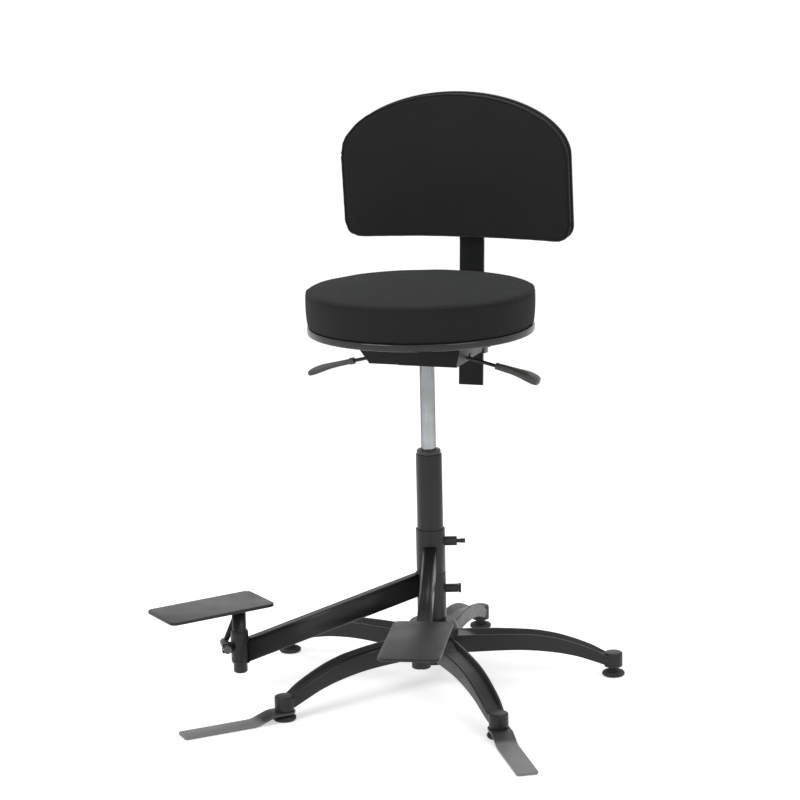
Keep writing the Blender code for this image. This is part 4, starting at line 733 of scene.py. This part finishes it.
def inflated(piece, held):
    """Blows up a closed cloth whose held points stay, no point moving further than the reach."""
    start = [vertex.co.copy() for vertex in piece.data.vertices]
    pinned = [held(place) for place in start]
    group = piece.vertex_groups.new(name="held")
    group.add([index for index, still in enumerate(pinned) if still], 1.0, "REPLACE")
    cloth = piece.modifiers.new("inflate", "CLOTH")
    assign(cloth.settings, CLOTH_SETTINGS)
    cloth.settings.vertex_group_mass = group.name
    cloth.settings.effector_weights.gravity = 0
    cloth.collision_settings.use_collision = False
    for number in range(1, CLOTH_FRAMES + 1):
        bpy.context.scene.frame_set(number)
    result = evaluated_mesh(piece)
    bpy.context.scene.frame_set(1)
    piece.modifiers.clear()
    shifts = []
    for vertex, place in zip(result.vertices, start):
        shift = vertex.co - place
        shifts.append(shift.normalized() * min(shift.length, CLOTH_REACH))
    for vertex, place, shift in zip(result.vertices, start, evened(shifts, pinned, result)):
        vertex.co = place + shift
    piece.data = result


def evened(shifts, pinned, mesh):
    """Shifts averaged with their neighbours', so that the cloth keeps no small buckles."""
    for _ in range(CLOTH_PASSES):
        sums = [shift.copy() for shift in shifts]
        counts = [1] * len(shifts)
        for edge in mesh.edges:
            first, second = edge.vertices
            sums[first] += shifts[second]
            sums[second] += shifts[first]
            counts[first] += 1
            counts[second] += 1
        shifts = [
            shift if still else total / count
            for shift, still, total, count in zip(shifts, pinned, sums, counts)
        ]
    return shifts


def surface_of(piece):
    corners = [vertex.co.copy() for vertex in piece.data.vertices]
    return BVHTree.FromPolygons(corners, [tuple(face.vertices) for face in piece.data.polygons])


def settled(path, surface, lift):
    """A path moved onto a surface and lifted off it."""
    moved = []
    for point in path:
        place, normal, _, _ = surface.find_nearest(point)
        moved.append(place + normal * lift)
    return moved


def dented(gap, dent):
    """Depth of a dent at a gap from its line."""
    depth, reach = dent
    return depth * math.exp(-(gap / reach) ** 2)


def rippled(place, ripple):
    """Height of a ripple at a place."""
    height, scales = ripple
    return height * noise.noise(place * Vector(scales))


def upholstered(piece, matrix, material, body, node):
    """Ends a simulated form as a piece of fabric in place of a CAD node."""
    mesh = piece.data
    mesh.transform(matrix)
    mesh.materials.clear()
    mesh.materials.append(material)
    mesh.shade_smooth()
    modify(piece, "SUBSURF", levels=1, render_levels=1)
    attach(piece, body)
    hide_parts(node)


# Seat


def seat_profile(bottom, top):
    """Half section of the cushion: drawn in at its foot, full below the seam, nearly flat on top."""
    seam = top - SEAT_SEAM_DROP
    crown = top - seam - SEAT_CLEARANCE
    points = [(0, bottom), (SEAT_FOOT_RADIUS - SEAT_FOOT_INSET, bottom)]
    points.append((SEAT_FOOT_RADIUS, bottom + SEAT_FOOT_ROUND))
    for share in SEAT_SIDE_SHARES:
        bulge = math.sin(math.pi * share ** SEAT_BULGE_SKEW)
        radius = SEAT_FOOT_RADIUS + (SEAT_SEAM_RADIUS - SEAT_FOOT_RADIUS) * share
        radius += (SEAT_RADIUS - SEAT_SEAM_RADIUS) * bulge
        points.append((radius, bottom + (seam - bottom) * share))
    points.append((SEAT_SEAM_RADIUS, seam))
    for share in SEAT_TOP_SHARES:
        lift = (1 - share ** 2) ** SEAT_CROWN_SHARE
        points.append((SEAT_SEAM_RADIUS * share, seam + crown * lift))
    points.append((0, top - SEAT_CLEARANCE))
    return points


def make_seat(fabric, cord, gloss, staple_metal):
    low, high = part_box("seat_cushion")
    centre = (low + high) / 2
    matrix = Matrix.Translation((centre.x, centre.y, 0))
    seam = high.z - SEAT_SEAM_DROP
    shape = bmesh.new()
    add_turned(shape, seat_profile(low.z + FACE_GAP, high.z), SEAT_SEGMENTS)
    piece = remeshed("seat_upholstery", shape)

    def held(place):
        up, inward = SEAT_HELD_SEAM
        radius = math.hypot(place.x, place.y)
        near_seam = abs(place.z - seam) < up and radius > SEAT_SEAM_RADIUS - inward
        return place.z < low.z + SEAT_HELD_FOOT or near_seam

    inflated(piece, held)
    for vertex in piece.data.vertices:
        place = vertex.co
        if place.z <= low.z + SEAT_PLAIN_FOOT:
            continue
        radius = math.hypot(place.x, place.y)
        gap = math.hypot(radius - SEAT_SEAM_RADIUS, place.z - seam)
        ripple = rippled(place, SEAT_RIPPLE)
        outward = Vector((place.x, place.y, 0)).normalized() if radius > 0.01 else Vector((0, 0, 1))
        dent = outward * dented(gap, SEAT_DENT)
        vertex.co = place - dent + Vector((0, 0, ripple)) + outward * ripple
    surface = surface_of(piece)
    upholstered(piece, matrix, fabric, "seat_unit", "seat_cushion")

    shape = bmesh.new()
    path = ring_path(SEAT_SEAM_RADIUS + SEAT_CORD_OUT, seam + SEAT_CORD_UP, SEAT_CORD_STEPS)
    add_tube(shape, settled(path, surface, SEAT_CORD_LIFT), SEAT_CORD, 8)
    to_object("seat_seam", shape, matrix, cord, "seat_unit")

    shape = bmesh.new()
    radius = SEAT_SEAM_RADIUS + SEAT_STITCH_OUT
    path = ring_path(radius, seam - SEAT_STITCH_DROP, SEAT_STITCH_STEPS)
    add_stitches(shape, settled(path, surface, THREAD_LIFT))
    to_object("seat_stitching", shape, matrix, cord, "seat_unit")

    make_welt(matrix, gloss)
    make_staples(matrix, staple_metal)


def add_stitches(shape, path):
    """Short thread stitches along a closed path, with a gap between each and the next."""
    for index in range(0, len(path) - 1, 2):
        start = path[index]
        end = path[index + 1]
        ahead = end - start
        low = start + ahead * THREAD_LAG[0]
        high = end + ahead * THREAD_LAG[1]
        points = [low.lerp(high, quarter / 4) for quarter in range(5)]
        add_tube(shape, points, THREAD_SIZES, 6, closed=False)


def make_welt(matrix, gloss):
    """The glossy round welt under the cushion's edge, slightly uneven as it is pulled round."""
    low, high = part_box("seat_edge_trim")
    outer = (high.x - low.x) / 2
    middle = (low.z + high.z + WELT_OVERLAP) / 2
    half = (high.z + WELT_OVERLAP - low.z) / 2
    corners = [(WELT_INNER, -half), (outer, -half), (outer, half), (WELT_INNER, half)]
    rounding = half * WELT_ROUND_SHARE
    section = filleted(corners, [WELT_LIP, rounding, rounding, WELT_LIP], 7)
    shape = bmesh.new()
    rings = []
    for step in range(WELT_STEPS):
        angle = math.tau * step / WELT_STEPS
        sway = sum(size * noise.noise(polar(1, angle, 0.3) * scale) for size, scale in WELT_PULL)
        ring = []
        for x, z in section:
            radius = x + (sway if x > WELT_INNER + 2 * WELT_LIP else 0)
            ring.append(shape.verts.new(polar(radius, angle, middle + z)))
        rings.append(ring)
    skin(shape, rings, closed=True)
    piece = to_object("seat_welt", shape, matrix, gloss, "seat_unit")
    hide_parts("seat_edge_trim")


def make_staples(matrix, metal_look):
    """Wire staples that hold the cover to the underside of the seat board."""
    low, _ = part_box("seat_board")
    leg = Vector((0, 0, STAPLE_LEG))
    shape = bmesh.new()
    for step in range(STAPLE_COUNT):
        shift, spread, turn = (size * math.sin(step * rate) for size, rate in STAPLE_SWAY)
        angle = math.tau * (step + shift) / STAPLE_COUNT
        centre = polar(STAPLE_CIRCLE + spread, angle, low.z - FACE_GAP)
        side = Vector((-math.sin(angle + turn), math.cos(angle + turn), 0)) * STAPLE_HALF
        points = [centre - side + leg, centre - side, centre, centre + side, centre + side + leg]
        add_tube(shape, points, STAPLE_WIRE, 6, closed=False)
    to_object("seat_staples", shape, matrix, metal_look, "seat_unit")


# Backrest


def back_outline(count):
    """Front view of the backrest as evenly spaced (x, z) points."""
    half = BACK_HALF_WIDTH
    corner = BACK_CORNER
    middle = BACK_LOW + BACK_HEIGHT - BACK_DOME
    points = []
    for step in range(BACK_DOME_STEPS + 1):
        angle = math.pi * step / BACK_DOME_STEPS
        points.append(Vector((half * math.cos(angle), middle + BACK_DOME * math.sin(angle))))
    for x, start in ((corner - half, math.pi), (half - corner, -math.pi / 2)):
        for step in range(BACK_CORNER_STEPS + 1):
            angle = start + math.pi / 2 * step / BACK_CORNER_STEPS
            z = BACK_LOW + corner + corner * math.sin(angle)
            points.append(Vector((x + corner * math.cos(angle), z)))
    points.append(points[0])
    lengths = [0.0]
    for first, second in zip(points, points[1:]):
        lengths.append(lengths[-1] + (second - first).length)
    even = []
    index = 0
    for step in range(count):
        target = lengths[-1] * step / count
        while lengths[index + 1] < target:
            index += 1
        span = lengths[index + 1] - lengths[index]
        share = (target - lengths[index]) / span if span > 0 else 0
        even.append(points[index].lerp(points[index + 1], share))
    return even


def shrunk(point, size):
    """A point of the outline drawn in towards its centre, as x and z."""
    return point.x * size, BACK_CENTRE + (point.y - BACK_CENTRE) * size


def wrap(x):
    return BACK_WRAP_RADIUS - math.sqrt(BACK_WRAP_RADIUS ** 2 - x ** 2)


def on_back(x, z, depth):
    """A point of the backrest in the post's frame, depth forward of the post's face."""
    return Vector((x, -depth - wrap(x), z))


def add_back_layers(shape, layers):
    """A closed curved slab from (size, depth) layers, back to front."""
    outline = back_outline(BACK_STEPS)
    loops = []
    for size, depth in layers:
        points = outline if size > 0 else outline[:1]
        loops.append([shape.verts.new(on_back(*shrunk(point, size), depth)) for point in points])
    skin(shape, loops)


def make_backrest(fabric, cord, piping_look, shell_look):
    front = PAD_BACK + PAD_THICKNESS - PAD_CROWN_SINK
    band = PAD_BACK + BAND_DEPTH
    matrix = pad_matrix()
    inner, outer = PAD_CROWN_POWERS
    layers = [(size, PAD_BACK + depth) for size, depth in PAD_LAYERS] + [(PAD_RIM_SHARE, band)]
    for size in PAD_CROWN_SHARES:
        rise = (1 - (size / PAD_RIM_SHARE) ** inner) ** outer
        layers.append((size, band + (front - band) * rise))
    shape = bmesh.new()
    add_back_layers(shape, layers + [(0, front)])
    piece = remeshed("backrest_upholstery", shape)
    rim = [Vector(shrunk(point, PAD_RIM_SHARE)) for point in back_outline(BACK_STEPS)]

    def from_rim(place):
        flat = Vector((place.x, place.z))
        return min((flat - point).length_squared for point in rim) ** 0.5

    def depth_of(place):
        return -place.y - wrap(place.x)

    def held(place):
        thick, inward = BACK_HELD_SEAM
        depth = depth_of(place)
        if depth < PAD_BACK + BACK_HELD_REAR:
            return True
        return abs(depth - band) < thick and from_rim(place) < inward

    inflated(piece, held)
    for vertex in piece.data.vertices:
        place = vertex.co
        depth = depth_of(place)
        if depth < PAD_BACK + BACK_PLAIN_REAR:
            continue
        gap = math.hypot(from_rim(place), depth - band)
        sink = dented(gap, BACK_DENT) + rippled(place, BACK_RIPPLE)
        vertex.co = place + Vector((0, sink, 0))
    surface = surface_of(piece)
    upholstered(piece, matrix, fabric, "backrest", "backrest_pad")

    shape = bmesh.new()
    path = [on_back(*shrunk(point, PAD_PIPING_SHARE), band) for point in rim]
    add_tube(shape, settled(path, surface, BACK_PIPING_LIFT), BACK_PIPING, 10)
    to_object("backrest_piping", shape, matrix, piping_look, "backrest")

    shape = bmesh.new()
    depth = band - BACK_STITCH_DROP
    path = [on_back(*shrunk(p, PAD_STITCH_SHARE), depth) for p in back_outline(BACK_STITCH_STEPS)]
    add_stitches(shape, settled(path, surface, THREAD_LIFT))
    to_object("backrest_stitching", shape, matrix, cord, "backrest")
    make_back_shell(matrix, shell_look)


def make_back_shell(matrix, look):
    """The moulded rear shell: a rolled rim and a shallow groove inside it."""
    front = SHELL_BACK + SHELL_THICKNESS
    layers = [(size, SHELL_BACK + depth) for size, depth in SHELL_REAR_LAYERS]
    layers += [(size, front - depth) for size, depth in SHELL_FRONT_LAYERS]
    shape = bmesh.new()
    add_back_layers(shape, layers)
    piece = to_object("backrest_rear_shell", shape, matrix, look, "backrest")
    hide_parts("backrest_shell")


# Base


def leg_sections():
    sections = []
    first = LEG_SHARES[0][0]
    last = LEG_SHARES[-1][0]
    for step in range(LEG_STEPS + 1):
        reach = first + (last - first) * step / LEG_STEPS
        top, under, width, groove = smooth_between(LEG_SHARES, reach)
        groove = max(LEG_GROOVE_LEAST, min(1.0, groove))
        half = LEG_ROOT_WIDTH * width / 2
        high = LEG_CROWN * top
        inner = half - LEG_RIM
        floor = high - LEG_GROOVE_DEPTH * groove
        side = [(half - LEG_EDGE, LEG_CROWN * under), (half, high), (inner, high)]
        side.append((inner - LEG_GROOVE_SLOPE, floor))
        outline = side + [(-y, z) for y, z in reversed(side)]
        section = filleted(outline, LEG_FILLETS + LEG_FILLETS[::-1], CAST_FILLET_STEPS)
        sections.append([Vector((GLIDE_CIRCLE * reach, p.x, p.y)) for p in section])
    return sections


def united(shapes):
    """One closed bmesh from several overlapping closed ones."""
    parts = [mesh_piece(f"base_{index}", shape) for index, shape in enumerate(shapes)]
    for part in parts[1:]:
        modify(parts[0], "BOOLEAN", operation="UNION", object=part, solver="EXACT")
    whole = bmesh.new()
    whole.from_mesh(evaluated_mesh(parts[0]))
    for part in parts:
        bpy.data.objects.remove(part)
    return whole


def make_base(look):
    """The star base: a turned hub, grooved legs and bosses at their ends, closed on top."""
    hub = bmesh.new()
    add_turned(hub, filleted(HUB_OUTLINE, HUB_FILLETS, CAST_FILLET_STEPS), HUB_SEGMENTS)
    outline = [
        (STEM_HOLE, BOSS_BOTTOM), (BOSS_RADIUS, BOSS_BOTTOM), (BOSS_RADIUS, BOSS_TOP),
        (STEM_HOLE, BOSS_TOP),
    ]
    boss = filleted(outline, BOSS_FILLETS, CAST_FILLET_STEPS)[:3 * (CAST_FILLET_STEPS + 1)]
    boss += [(0, BOSS_TOP), (0, BOSS_TOP - BOSS_CAP), (STEM_HOLE, BOSS_TOP - BOSS_CAP)]
    shapes = [hub]
    sections = leg_sections()
    for index in range(LEG_COUNT):
        turn = Matrix.Rotation(FIRST_LEG_ANGLE + math.tau * index / LEG_COUNT, 4, "Z")
        leg = bmesh.new()
        add_loft(leg, sections)
        leg.transform(turn)
        end = bmesh.new()
        add_turned(end, boss, BOSS_SEGMENTS)
        end.transform(turn @ Matrix.Translation((GLIDE_CIRCLE, 0, 0)))
        shapes += [leg, end]
    place = Matrix.Translation(COLUMN)
    piece = to_object("base_casting", united(shapes), place, look, "base")
    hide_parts("star_base")


# Foot rest arms


def weld_path(distance, root, radius):
    """The closed line where a sloping arm's outline meets an upright sleeve at a distance."""
    extra = WELD_RADIUS * WELD_SINK_SHARE
    high = ARM_HEIGHT / 2 + extra
    wide = min(ARM_WIDTH / 2 + extra, radius * WELD_WIDEST_SHARE)
    corners = [(wide, -high), (wide, high), (-wide, high), (-wide, -high)]
    outline = filleted(corners, ARM_CORNER, 5)
    dense = []
    for index, point in enumerate(outline):
        after = outline[(index + 1) % len(outline)]
        steps = max(1, int((after - point).length / WELD_STEP))
        dense += [point.lerp(after, step / steps) for step in range(steps)]
    path = []
    for point in dense:
        reach = math.sqrt(max(0.0, radius ** 2 - point.x ** 2))
        x = reach if distance == 0 else distance - reach
        centre = root - math.tan(ARM_SLOPE) * (x - SLEEVE_RADIUS)
        path.append(Vector((x, point.x, centre + point.y / math.cos(ARM_SLOPE))))
    return path


def add_weld(shape, path):
    """A rippled bead along a closed path."""
    length = 0.0
    sizes = []
    for index, point in enumerate(path):
        length += (point - path[index - 1]).length if index else 0.0
        sizes.append(WELD_RADIUS + WELD_RIPPLE * math.cos(math.tau * length / WELD_PITCH))
    add_tube(shape, path, sizes, 10)


def make_arm_welds(side, arm, look):
    angle, length, root = arm
    shape = bmesh.new()
    add_weld(shape, weld_path(0, root, SLEEVE_RADIUS))
    add_weld(shape, weld_path(length, root, END_SLEEVE_RADIUS))
    matrix = column_matrix(angle)
    to_object(f"{side}_arm_welds", shape, matrix, look, f"{side}_swing")


# Levers


def squared(value):
    """A sine or cosine pushed outwards, which makes a round section squarer."""
    return math.copysign(abs(value) ** GRIP_SQUARENESS, value)


def make_grip(name, side, size, look, body, node):
    """A moulded paddle: a round neck that flattens into a drooping rounded blade."""
    start, length, thickness = size
    sections = []
    for step in range(GRIP_STEPS + 1):
        reach = GRIP_LAST_REACH * (1 - (1 - step / GRIP_STEPS) ** GRIP_CROWDING)
        width, thick, droop = smooth_between(GRIP_SHARES, reach)
        half_width = GRIP_WIDTH * width / 2
        half_thick = thickness * thick / 2
        if step == GRIP_STEPS:
            half_width *= GRIP_TIP_SHARE
            half_thick *= GRIP_TIP_SHARE
        section = []
        for turn in range(GRIP_SIDES):
            angle = math.tau * turn / GRIP_SIDES
            y = half_width * squared(math.cos(angle))
            z = half_thick * squared(math.sin(angle)) - GRIP_DROOP * droop
            section.append(Vector((start + length * reach, y, z)))
        sections.append(section)
    shape = bmesh.new()
    add_loft(shape, sections)
    matrix = lever_matrix(side)
    piece = to_object(name, shape, matrix, look, body)
    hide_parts(node)
    collar = bmesh.new()
    add_turned(collar, filleted(COLLAR_OUTLINE, COLLAR_FILLETS, 3), SMALL_SEGMENTS)
    place = Matrix.Translation((start - COLLAR_OVERLAP, 0, 0))
    collar.transform(place @ Matrix.Rotation(math.pi / 2, 4, "Y"))
    to_object(f"{name}_collar", collar, matrix, look, body)


def make_pin_knob(look):
    """A small pull knob on the end of the upper sleeve's lock pin."""
    low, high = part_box("upper_lock_pin")
    profile = filleted(PIN_OUTLINE, PIN_FILLETS, 4)
    profile = [(0, PIN_OUTLINE[0][1])] + profile + [(0, PIN_OUTLINE[-1][1])]
    shape = bmesh.new()
    add_turned(shape, profile, SMALL_SEGMENTS)
    shape.transform(Matrix.Rotation(math.pi / 2, 4, "Y"))
    place = Matrix.Translation((0, 0, (low.z + high.z) / 2)) @ column_matrix(PIN_SIDE)
    to_object("upper_pin_knob", shape, place, look, "upper_pin")


# CAD nodes that stay


def dress(node, material, bevel):
    """Gives a CAD node its material and, with a bevel, softly broken edges."""
    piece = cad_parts[node]
    mesh = piece.data
    mesh.materials.clear()
    mesh.materials.append(material)
    for polygon in mesh.polygons:
        polygon.material_index = 0
    mesh.shade_smooth()
    modify(piece, "WELD", merge_threshold=CAD_WELD)
    modify(piece, "DECIMATE", decimate_type="DISSOLVE", angle_limit=CAD_FLAT_ANGLE)
    if bevel > 0:
        modify(
            piece, "BEVEL", width=bevel, segments=CAD_BEVEL_STEPS, limit_method="ANGLE",
            angle_limit=CAD_SMOOTH_ANGLE, harden_normals=True, use_clamp_overlap=True,
        )


# Studio


def make_camera():
    level = Vector((math.cos(CAMERA_YAW), -math.sin(CAMERA_YAW), 0))
    ahead = Vector((math.sin(CAMERA_YAW), math.cos(CAMERA_YAW), 0))
    forward = ahead * math.cos(CAMERA_PITCH) - Vector((0, 0, math.sin(CAMERA_PITCH)))
    upright = level.cross(forward)
    right = level * math.cos(CAMERA_ROLL) + upright * math.sin(CAMERA_ROLL)
    up = upright * math.cos(CAMERA_ROLL) - level * math.sin(CAMERA_ROLL)
    data = bpy.data.cameras.new("camera")
    data.lens = CAMERA_LENS
    data.sensor_width = CAMERA_SENSOR
    data.clip_end = FLOOR_HALF
    camera = bpy.data.objects.new("camera", data)
    bpy.context.collection.objects.link(camera)
    columns = Matrix((right, up, -forward)).transposed().to_4x4()
    camera.matrix_world = Matrix.Translation(COLUMN + CAMERA_PLACE) @ columns
    bpy.context.scene.camera = camera


def add_softbox(name, place, size, power):
    data = bpy.data.lights.new(name, "AREA")
    data.size = size
    data.energy = power
    lamp = bpy.data.objects.new(name, data)
    bpy.context.collection.objects.link(lamp)
    lamp.location = place
    lamp.rotation_euler = (LAMP_TARGET - Vector(place)).to_track_quat("-Z", "Y").to_euler()


def make_floor():
    """A pale floor that is white to the eye and still takes the stool's shadow."""
    shape = bmesh.new()
    bmesh.ops.create_grid(shape, x_segments=1, y_segments=1, size=FLOOR_HALF)
    floor = mesh_piece("floor", shape)
    floor.location = (0, 0, -FLOOR_DROP)
    nodes = new_material("studio_floor")
    tone = nodes.mix(nodes.noise(0.7, 2.0), (0.93, 0.93, 0.93), (0.96, 0.96, 0.96))
    nodes.set(nodes.shader, Specular_IOR_Level=0.0)
    material = nodes.finish(tone, nodes.patches(3.0, 3.0, 0.0, 1.0, 0.85, 0.95))
    glow = nodes.maths("MULTIPLY", nodes.seen(), FLOOR_GLOW)
    nodes.link(glow, nodes.shader.inputs["Emission Strength"])
    floor.data.materials.append(material)


def make_world():
    """White studio surround: pure white to the camera and to mirrors, softer as a light."""
    world = bpy.data.worlds.new("studio")
    bpy.context.scene.world = world
    nodes = Nodes(world, "Background")
    nodes.set(nodes.shader, Color=(1.0, 1.0, 1.0, 1.0))
    strength = nodes.spread(nodes.seen(), 0.0, 1.0, WORLD_LIGHT, 1.0)
    nodes.link(strength, nodes.shader.inputs["Strength"])


def make_studio():
    make_camera()
    make_world()
    make_floor()
    for lamp in LAMPS:
        add_softbox(*lamp)
    bpy.context.scene.view_settings.view_transform = "Standard"


def make_looks():
    """Every finish by its short name."""
    return {
        "coat": coated("black_powder_coat", *BLACK_COAT, 0.33, 900.0),
        "cast": coated("cast_powder_coat", *BLACK_COAT, 0.36, 700.0, 0.4),
        # The floor bars: their grey coat with a painted shade on their sloping ends
        "bar": ramp_painted_shade("grey_powder_coat", *BAR_COAT_AND_PAINTED_SHADE, 0.4, 900.0),
        "enamel": coated(
            "dark_enamel", (0.0085, 0.01, 0.0088), (0.013, 0.015, 0.0135), 0.4, 900.0, mirror=0.16
        ),
        "dull": coated("dull_zinc", (0.11, 0.118, 0.108), (0.16, 0.168, 0.158), 0.42, 700.0),
        "dark_steel": coated(
            "blackened_steel", (0.016, 0.017, 0.016), (0.026, 0.027, 0.026), 0.34, 1200.0
        ),
        "chrome": metal(
            "polished_chrome", (0.33, 0.35, 0.355), (0.26, 0.28, 0.285), 0.12, (400, 400, 6)
        ),
        "steel": metal("zinc_plate", (0.46, 0.47, 0.46), (0.34, 0.35, 0.34), 0.3, (300, 300, 60)),
        "shell": plastic(
            "shell_plastic", (0.01, 0.0105, 0.01), (0.016, 0.017, 0.016), 0.62, 1300.0, 0.25
        ),
        "piping": plastic(
            "vinyl_piping", (0.008, 0.0084, 0.0081), (0.013, 0.0137, 0.0131), 0.48, 1500.0, 0.18
        ),
        "plastic": plastic(
            "black_plastic", (0.016, 0.017, 0.016), (0.028, 0.029, 0.028), 0.46, 1500.0
        ),
        "grip": plastic("grip_plastic", (0.036, 0.039, 0.037), (0.06, 0.064, 0.061), 0.42, 1500.0),
        "gloss": plastic(
            "gloss_welt", (0.009, 0.0098, 0.009), (0.018, 0.019, 0.018), 0.17, 700.0, 0.42
        ),
        "rubber": rubber("glide_rubber", (0.014, 0.014, 0.014), (0.035, 0.034, 0.032)),
        "fabric": upholstery(
            "black_upholstery", (0.01, 0.0105, 0.0102), (0.019, 0.0198, 0.0193), 0.0009
        ),
        "cord": upholstery(
            "cord_fabric", (0.012, 0.0125, 0.0122), (0.024, 0.025, 0.0245), 0.0006
        ),
        "plywood": plywood("raw_plywood"),
    }


def main():
    looks = make_looks()
    for look, bevel, nodes in DRESSED:
        for node in nodes.split():
            dress(node, looks[look], bevel)
    make_seat(looks["fabric"], looks["cord"], looks["gloss"], looks["steel"])
    make_backrest(looks["fabric"], looks["cord"], looks["piping"], looks["shell"])
    make_base(looks["cast"])
    make_arm_welds("lower", LOWER_ARM, looks["coat"])
    make_arm_welds("upper", UPPER_ARM, looks["coat"])
    make_grip("left_grip", -1, LEFT_GRIP, looks["grip"], "height_lever", "height_lever_grip")
    make_grip("right_grip", 1, RIGHT_GRIP, looks["grip"], "back_lever", "back_lever_grip")
    make_pin_knob(looks["dark_steel"])
    make_studio()


main()
